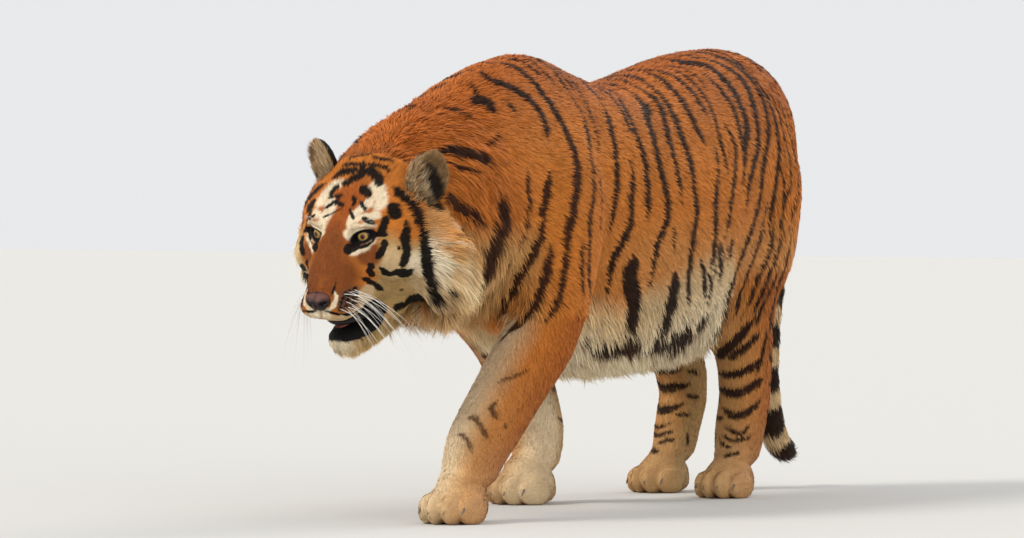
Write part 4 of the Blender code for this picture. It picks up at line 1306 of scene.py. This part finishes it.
def hair_lift(lengths):
    """How far a tuft stands off the hide, in radians: more where the coat is long."""
    return np.radians(9 + 15 * ramp(lengths, 0.012, 0.040))


def face_areas(points, faces):
    """The area of each triangle."""
    a, b, c = points[faces].transpose(1, 0, 2)
    return 0.5 * np.linalg.norm(np.cross(b - a, c - a), axis=1)


def laid(lie, normal):
    """The way the hair points, laid along the hide."""
    return unit(lie - normal * (lie * normal).sum(1)[:, None])


def corner_shares(rng, count):
    """Even random places in triangles, as the share that each corner has in them."""
    a, b = rng.random((2, count))
    over = a + b > 1
    a, b = np.where(over, 1 - a, a), np.where(over, 1 - b, b)
    return np.stack([1 - a - b, a, b], 1)[..., None]


tri_area = face_areas(points, faces)
tri_middle = points[faces].mean(1)
tri_along = tri_middle[:, 1]
tri_part = body_part(tri_middle)
tri_head = in_head(tri_middle)
on_head = tri_part == 1
hide_lengths = coat_length(points, parts)
hide_lie = hair_lie(points, parts)
left, ahead, up = tri_head.T
in_mouth = on_head & (np.abs(up + 0.150) < 0.016) & (np.abs(left) < 0.05) & (ahead > 0.0) & (ahead < 0.10)
under_nose = on_head & (np.linalg.norm((tri_head - NOSE_MIDDLE) / (NOSE_HALF * 1.02), axis=1) < 1)
sole = tri_middle[:, 2] < 0.006
bald = (hide_bare[faces].max(1) > 0.5) | in_mouth | under_nose | sole
crowd = np.select([on_head, tri_part >= 2], [1.0 + 0.9 * ramp(ahead, -0.12, 0.02), 1.0], 0.8)
tri_crowd = np.where(bald, 0.0, crowd)
for centre, _, _, _ in sockets.values():
    tri_crowd *= 1 + 0.9 * ramp(np.linalg.norm(tri_middle - centre, axis=1), 0.042, 0.030)


def unwrap(points, kind):
    """Where points lie on a flat opening-out of the hide: round and along the trunk, a leg or the
    tail, or the bearing and height round the head."""
    if kind == "head":
        head = in_head(points) + (0, 0.06, 0.07)
        return np.arctan2(head[:, 0], head[:, 1]), np.arctan2(head[:, 2], np.hypot(head[:, 0], head[:, 1]))
    if kind == "tail":
        along, _, _ = tail_place(points)
        return np.arctan2(points[:, 0], behind_tail(points)), along
    if kind in ("foreleg", "hindleg"):
        turns = [leg_place(points, f"{kind}_{side}")[0] / 360 for side in ("left", "right")]
        return np.where(points[:, 0] > 0, turns[0], turns[1] + 1.05), points[:, 2]
    return np.arctan2(points[:, 0], points[:, 2] - TRUNK_AXIS), points[:, 1]


hair_finish = Finish(
    "tiger hair", Roughness=0.62, Specular_IOR_Level=0.14, Sheen_Weight=0.02, Sheen_Roughness=0.4
)
hair_finish.link(hair_finish.paint(), "Base Color")


def tufts(name, root, normal, lie, length, half, lift, colour, flat, seed, droop=0.0):
    """A tapering curved blade of three triangles for each root: out from the hide by its lift, then
    over along the lie, its tip falling by its droop."""
    rng = np.random.default_rng(seed)
    count = len(root)
    normal = unit(normal)
    lie = laid(lie, normal)
    across = np.cross(normal, lie)
    wander = 0.28 * mottle(root, 0.045, 51) + 0.16 * mottle(root, 0.013, 52) + rng.normal(0, 0.10, count)
    lie = np.cos(wander)[:, None] * lie + np.sin(wander)[:, None] * across
    across = np.cross(normal, lie)
    roll = rng.normal(0, 0.45, count)
    flatways = np.cos(roll)[:, None] * across + np.sin(roll)[:, None] * normal
    long_hair = ramp(length, 0.016, 0.036)
    clump = mottle(root, 0.014, 55)
    length = length * rng.uniform(0.72, 1.22, count) * (1 + 0.30 * long_hair * clump)
    lift = lift * (1 + 0.35 * mottle(root, 0.02, 53)) * rng.uniform(0.6, 1.4, count)
    rise, run = np.sin(lift) * length, np.cos(lift) * length
    side_bend = rng.normal(0, 0.05, count) * length
    low = root - normal * 0.0006
    mid = root + lie * (0.52 * run)[:, None] + normal * (0.72 * rise)[:, None]
    mid = mid + across * (0.4 * side_bend)[:, None]
    tip = root + lie * run[:, None] + normal * (0.88 * rise)[:, None] + across * side_bend[:, None]
    tip[:, 2] -= droop * length
    mid[:, 2] -= 0.35 * droop * length
    half = (half * rng.uniform(0.75, 1.25, count))[:, None]
    low_edge, mid_edge = flatways * half * 0.9, flatways * half * 0.75
    blade = np.stack([low - low_edge, low + low_edge, mid - mid_edge, mid + mid_edge, tip], 1)
    blade[..., 2] = np.maximum(blade[..., 2], 0.0005)
    first = np.arange(count)[:, None, None] * 5
    blade_faces = (first + np.array([[0, 3, 1], [0, 2, 3], [2, 4, 3]])).reshape(-1, 3)
    # Long hair brightens or darkens in clumps: partly the hair's own tone, partly painted light and shade on
    # its locks.
    bright = 1 + (0.07 + 0.11 * long_hair) * rng.normal(0, 1, count) + 0.08 * mottle(root, 0.010, 54)
    bright = np.clip(bright + 0.15 * long_hair * clump, 0.6, 1.45)
    # Painted shade and highlight: each tuft is darker at its root among the other hairs and lighter at its
    # tip, more so where the hair is long.
    root_shade_tip_light = np.array([0.62, 0.62, 1.0, 1.0, 1.16]) + long_hair[:, None] * (-0.12, -0.12, 0.0, 0.0, 0.14)
    paint = np.clip(colour[:, None, :] * bright[:, None, None] * root_shade_tip_light[:, :, None], 0.001, 1)
    made = surface_object(name, blade.reshape(-1, 3), blade_faces, hair_finish, paint.reshape(-1, 3))
    around, far = flat
    spot = np.stack([(g - g.min()) / max(g.max() - g.min(), 1e-9) * 0.990 + 0.005 for g in (around, far)], 1)
    patch = np.array([[-1, -1], [1, -1], [-1, 0.3], [1, 0.3], [0, 1]]) * 0.0015
    corner_spots = (spot[:, None, :] + patch)[:, [0, 3, 1, 0, 2, 3, 2, 4, 3]]
    layer = made.data.uv_layers.new(name="OFBake")
    layer.data.foreach_set("uv", corner_spots.astype(np.float32).ravel())
    fan = 0.45 * np.array([-1, 1, -1, 1, 0])[None, :, None] * flatways[:, None, :]
    soft = unit(normal[:, None, :] + fan + 0.14 * rng.normal(0, 1, (count, 1, 3)))
    made.data.normals_split_custom_set_from_vertices(soft.reshape(-1, 3).astype(np.float32))
    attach(made, "root")
    return made


def grow(name, wanted, count, kind, seed):
    """Tufts rooted evenly over the wanted part of the hide, by area and by how crowded it grows."""
    rng = np.random.default_rng(seed)
    total = np.cumsum(tri_area * tri_crowd * wanted)
    pick = np.searchsorted(total, (np.arange(count) + rng.random(count)) / count * total[-1])
    pick = np.minimum(pick, len(faces) - 1)
    mix = corner_shares(rng, count)

    def at(field):
        return (field[faces[pick]] * (mix if field.ndim == 2 else mix[..., 0])).sum(1)

    root, normal, lie, length = at(points), unit(at(normals)), at(hide_lie), at(hide_lengths)
    lie = laid(lie, normal)
    part = tri_part[pick]
    colour, _ = coat_colour(root + lie * (0.35 * length)[:, None], part)
    thin, more = np.where(part == 1, 0.00055, 0.0010), np.where(part == 1, 0.0006, 0.0003)
    half = thin + more * ramp(length, 0.014, 0.045)
    half = np.where(part >= 3, 0.0008, half)
    droop = 0.28 * ramp(length, 0.018, 0.045)
    lift, flat = hair_lift(length), unwrap(root, kind)
    return tufts(name, root, normal, lie, length, half, lift, colour, flat, seed, droop)


FULL = 1.0
RUFF_FROM = -0.035  # ahead of the head's middle
SHOULDERS_FROM, FLANKS_FROM, RUMP_FROM = -0.50, -0.24, 0.36  # along the trunk
trunk_tri, right_tri = tri_part == 0, tri_middle[:, 0] < 0
flank_tri = trunk_tri & (tri_along >= FLANKS_FROM) & (tri_along < RUMP_FROM)
COATS = (
    ("coat_face", on_head & (ahead > RUFF_FROM), 60000, "head"),
    ("coat_ruff", on_head & (ahead <= RUFF_FROM), 58000, "head"),
    ("coat_neck", trunk_tri & (tri_along < SHOULDERS_FROM), 56000, "trunk"),
    ("coat_shoulders", trunk_tri & (tri_along >= SHOULDERS_FROM) & (tri_along < FLANKS_FROM), 56000, "trunk"),
    ("coat_left_flank", flank_tri & ~right_tri, 48000, "trunk"),
    ("coat_right_flank", flank_tri & right_tri, 42000, "trunk"),
    ("coat_rump", trunk_tri & (tri_along >= RUMP_FROM), 58000, "trunk"),
    ("coat_forelegs", (tri_part == 3) | (tri_part == 4), 42000, "foreleg"),
    ("coat_hindlegs", (tri_part == 5) | (tri_part == 6), 42000, "hindleg"),
    ("coat_tail", tri_part == 2, 15000, "tail"),
)
for seed, (name, wanted, count, kind) in enumerate(COATS, 60):
    grow(name, wanted, int(count * FULL), kind, seed)

# Hair on the ears: close behind and along the rim, long and pale across the hollow.
for ear, (cup_points, cup_faces, cup_normals, centre, forward, upward, sideways) in ears.items():
    rng = np.random.default_rng(71)
    count = int(8000 * FULL)
    total = np.cumsum(face_areas(cup_points, cup_faces))
    pick = np.minimum(np.searchsorted(total, rng.random(count) * total[-1]), len(total) - 1)
    mix = corner_shares(rng, count)
    root = (cup_points[cup_faces[pick]] * mix).sum(1)
    normal = unit((cup_normals[cup_faces[pick]] * mix).sum(1))
    off = root - centre
    inner = ramp(normal @ forward, 0.0, 0.5)
    outward = 1 if ear == "ear_left" else -1
    towards = unit(outward * HEAD_LEFT - forward * (outward * HEAD_LEFT @ forward))
    near_edge = ramp(off @ towards, 0.0, -0.028)
    lie = upward + 0.25 * unit(off) + inner[:, None] * (1.1 * towards + 0.1 * forward)
    length = 0.0075 + inner * (0.006 + 0.020 * near_edge)
    colour = ear_colour(root + 0.002 * upward, normal, ear)
    colour = poured(colour, linear(206, 190, 160), 0.7 * inner * near_edge * (rng.random(count) < 0.30))
    flat = (off @ sideways + np.where(normal @ forward > 0, 0.0, 0.13), off @ upward)
    half, lift = np.full(count, 0.00055), np.radians(14 + 22 * inner * near_edge)
    tufts("coat_" + ear, root, normal, lie, length, half, lift, colour, flat, 72)

# ---- The whiskers ---------------------------------------------------------------------------------
# Stiff white bristles in four rows on each side of the muzzle, with a few over the eyes.
def bristles(name, roots, ways, lengths, sag):
    """Round tapering hairs: each runs straight out and bends down with the square of the distance."""
    sides, steps = 5, 10
    t = np.linspace(0, 1, steps)
    lines = roots[:, None] + ways[:, None] * t[None, :, None] * lengths[:, None, None]
    lines[..., 2] -= (sag * lengths)[:, None] * t[None] ** 2
    tangent = unit(np.gradient(lines, axis=1))
    first = unit(np.cross(tangent, np.array([0.13, 0.21, 0.97])))
    second = np.cross(tangent, first)
    turn = np.arange(sides) * 2 * np.pi / sides
    thick = ((0.00010 + 0.0038 * lengths)[:, None] * (1 - t) ** 0.7 + 0.00007)[..., None, None]
    round_hair = np.cos(turn)[:, None] * first[:, :, None] + np.sin(turn)[:, None] * second[:, :, None]
    rings = lines[:, :, None] + thick * round_hair
    each = np.arange(len(roots))[:, None, None] * steps * sides
    quads = (each + ring_quads(steps, sides)).reshape(-1, 4)
    made = surface_object(name, rings.reshape(-1, 3), quads, bristle_finish)
    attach(made, "root")
    return made


bristle_finish = Finish(
    "tiger whisker", Base_Color=(0.86, 0.83, 0.76, 1), Roughness=0.35, Specular_IOR_Level=0.5
)
rng = np.random.default_rng(81)
spots = np.array([line[0] for _, *line in WHISKER_ROWS], float)
spots = np.vstack([spots, spots[1::3] + (1.5, -6, -3)])
roots, ways, lengths = [], [], []
for side in (1, -1):
    start = snapped(spots * (side, 1, 1))
    n = len(start)
    back_row = ramp(-start[:, 1], -0.115, -0.07)
    outward = side * (0.50 + 0.65 * rng.random(n))
    forward = -0.05 - 0.60 * back_row - 0.3 * rng.random(n)
    upward = -0.25 - 0.80 * rng.random(n)
    roots.append(from_head(start))
    ways.append(unit(np.stack([outward, forward, upward], 1)) @ HEAD_AXES)
    lengths.append((0.070 + 0.105 * rng.random(n)) * (0.75 + 0.25 * back_row))
    brows = snapped(np.array([(58, -10, 26), (66, -13, 26), (72, -15, 24)]) * (side, 1, 1))
    roots.append(from_head(brows))
    way = np.stack([side * np.array((0.35, 0.6, 0.8)), np.full(3, 0.1), np.full(3, 0.8)], 1)
    ways.append(unit(way) @ HEAD_AXES)
    lengths.append(np.array((0.024, 0.030, 0.022)))
bristles("tiger_whiskers", np.concatenate(roots), np.concatenate(ways), np.concatenate(lengths), 0.60)

# ---- The stage ------------------------------------------------------------------------------------
# A plain pale floor with soft lamps, and a long lens on the tiger's left front.
bpy.ops.mesh.primitive_plane_add(size=60)
floor = bpy.context.object
floor.name = "floor"
floor_finish = Finish("pale floor", Base_Color=(0.56, 0.555, 0.54, 1), Roughness=0.9)
floor.data.materials.append(floor_finish.material)
world = bpy.data.worlds.new("soft room")
world.use_nodes = True
world.node_tree.nodes["Background"].inputs["Color"].default_value = (0.90, 0.91, 0.92, 1)
world.node_tree.nodes["Background"].inputs["Strength"].default_value = 0.9
bpy.context.scene.world = world
for lamp, place, power, spread, tint in (
    ("key", (-2.6, -3.6, 4.2), 2.0, 18, (1.0, 0.95, 0.87)),
    ("fill", (4.5, -3.0, 2.2), 0.7, 40, (1.0, 0.97, 0.93)),
    ("rim", (1.0, 4.5, 3.6), 0.9, 30, (1.0, 0.96, 0.9)),
):
    light = bpy.data.lights.new(lamp, "SUN")
    light.energy, light.angle, light.color = power, np.radians(spread), tint
    stand = bpy.data.objects.new(lamp, light)
    bpy.context.scene.collection.objects.link(stand)
    stand.location = place
    stand.rotation_euler = (Vector((0, 0, 0.5)) - Vector(place)).to_track_quat("-Z", "Y").to_euler()
bpy.context.scene.view_settings.view_transform = "Standard"

lens = bpy.data.cameras.new("camera")
camera = bpy.data.objects.new("camera", lens)
bpy.context.scene.collection.objects.link(camera)
AIM = Vector((-0.0005, 0.2346, 0.495))
ROUND, UP = np.radians(30), np.radians(1)
back = Vector((np.sin(ROUND) * np.cos(UP), -np.cos(ROUND) * np.cos(UP), np.sin(UP)))
CAMERA_DISTANCE, FOCAL_LENGTH = 14, 229.9
camera.location = AIM + CAMERA_DISTANCE * back
aim = AIM - 0.2548 * Vector((np.cos(ROUND), np.sin(ROUND), 0))
camera.rotation_euler = (aim - camera.location).to_track_quat("-Z", "Y").to_euler()
lens.lens, lens.sensor_width, lens.clip_end = FOCAL_LENGTH, 36, 100
bpy.context.scene.camera = camera
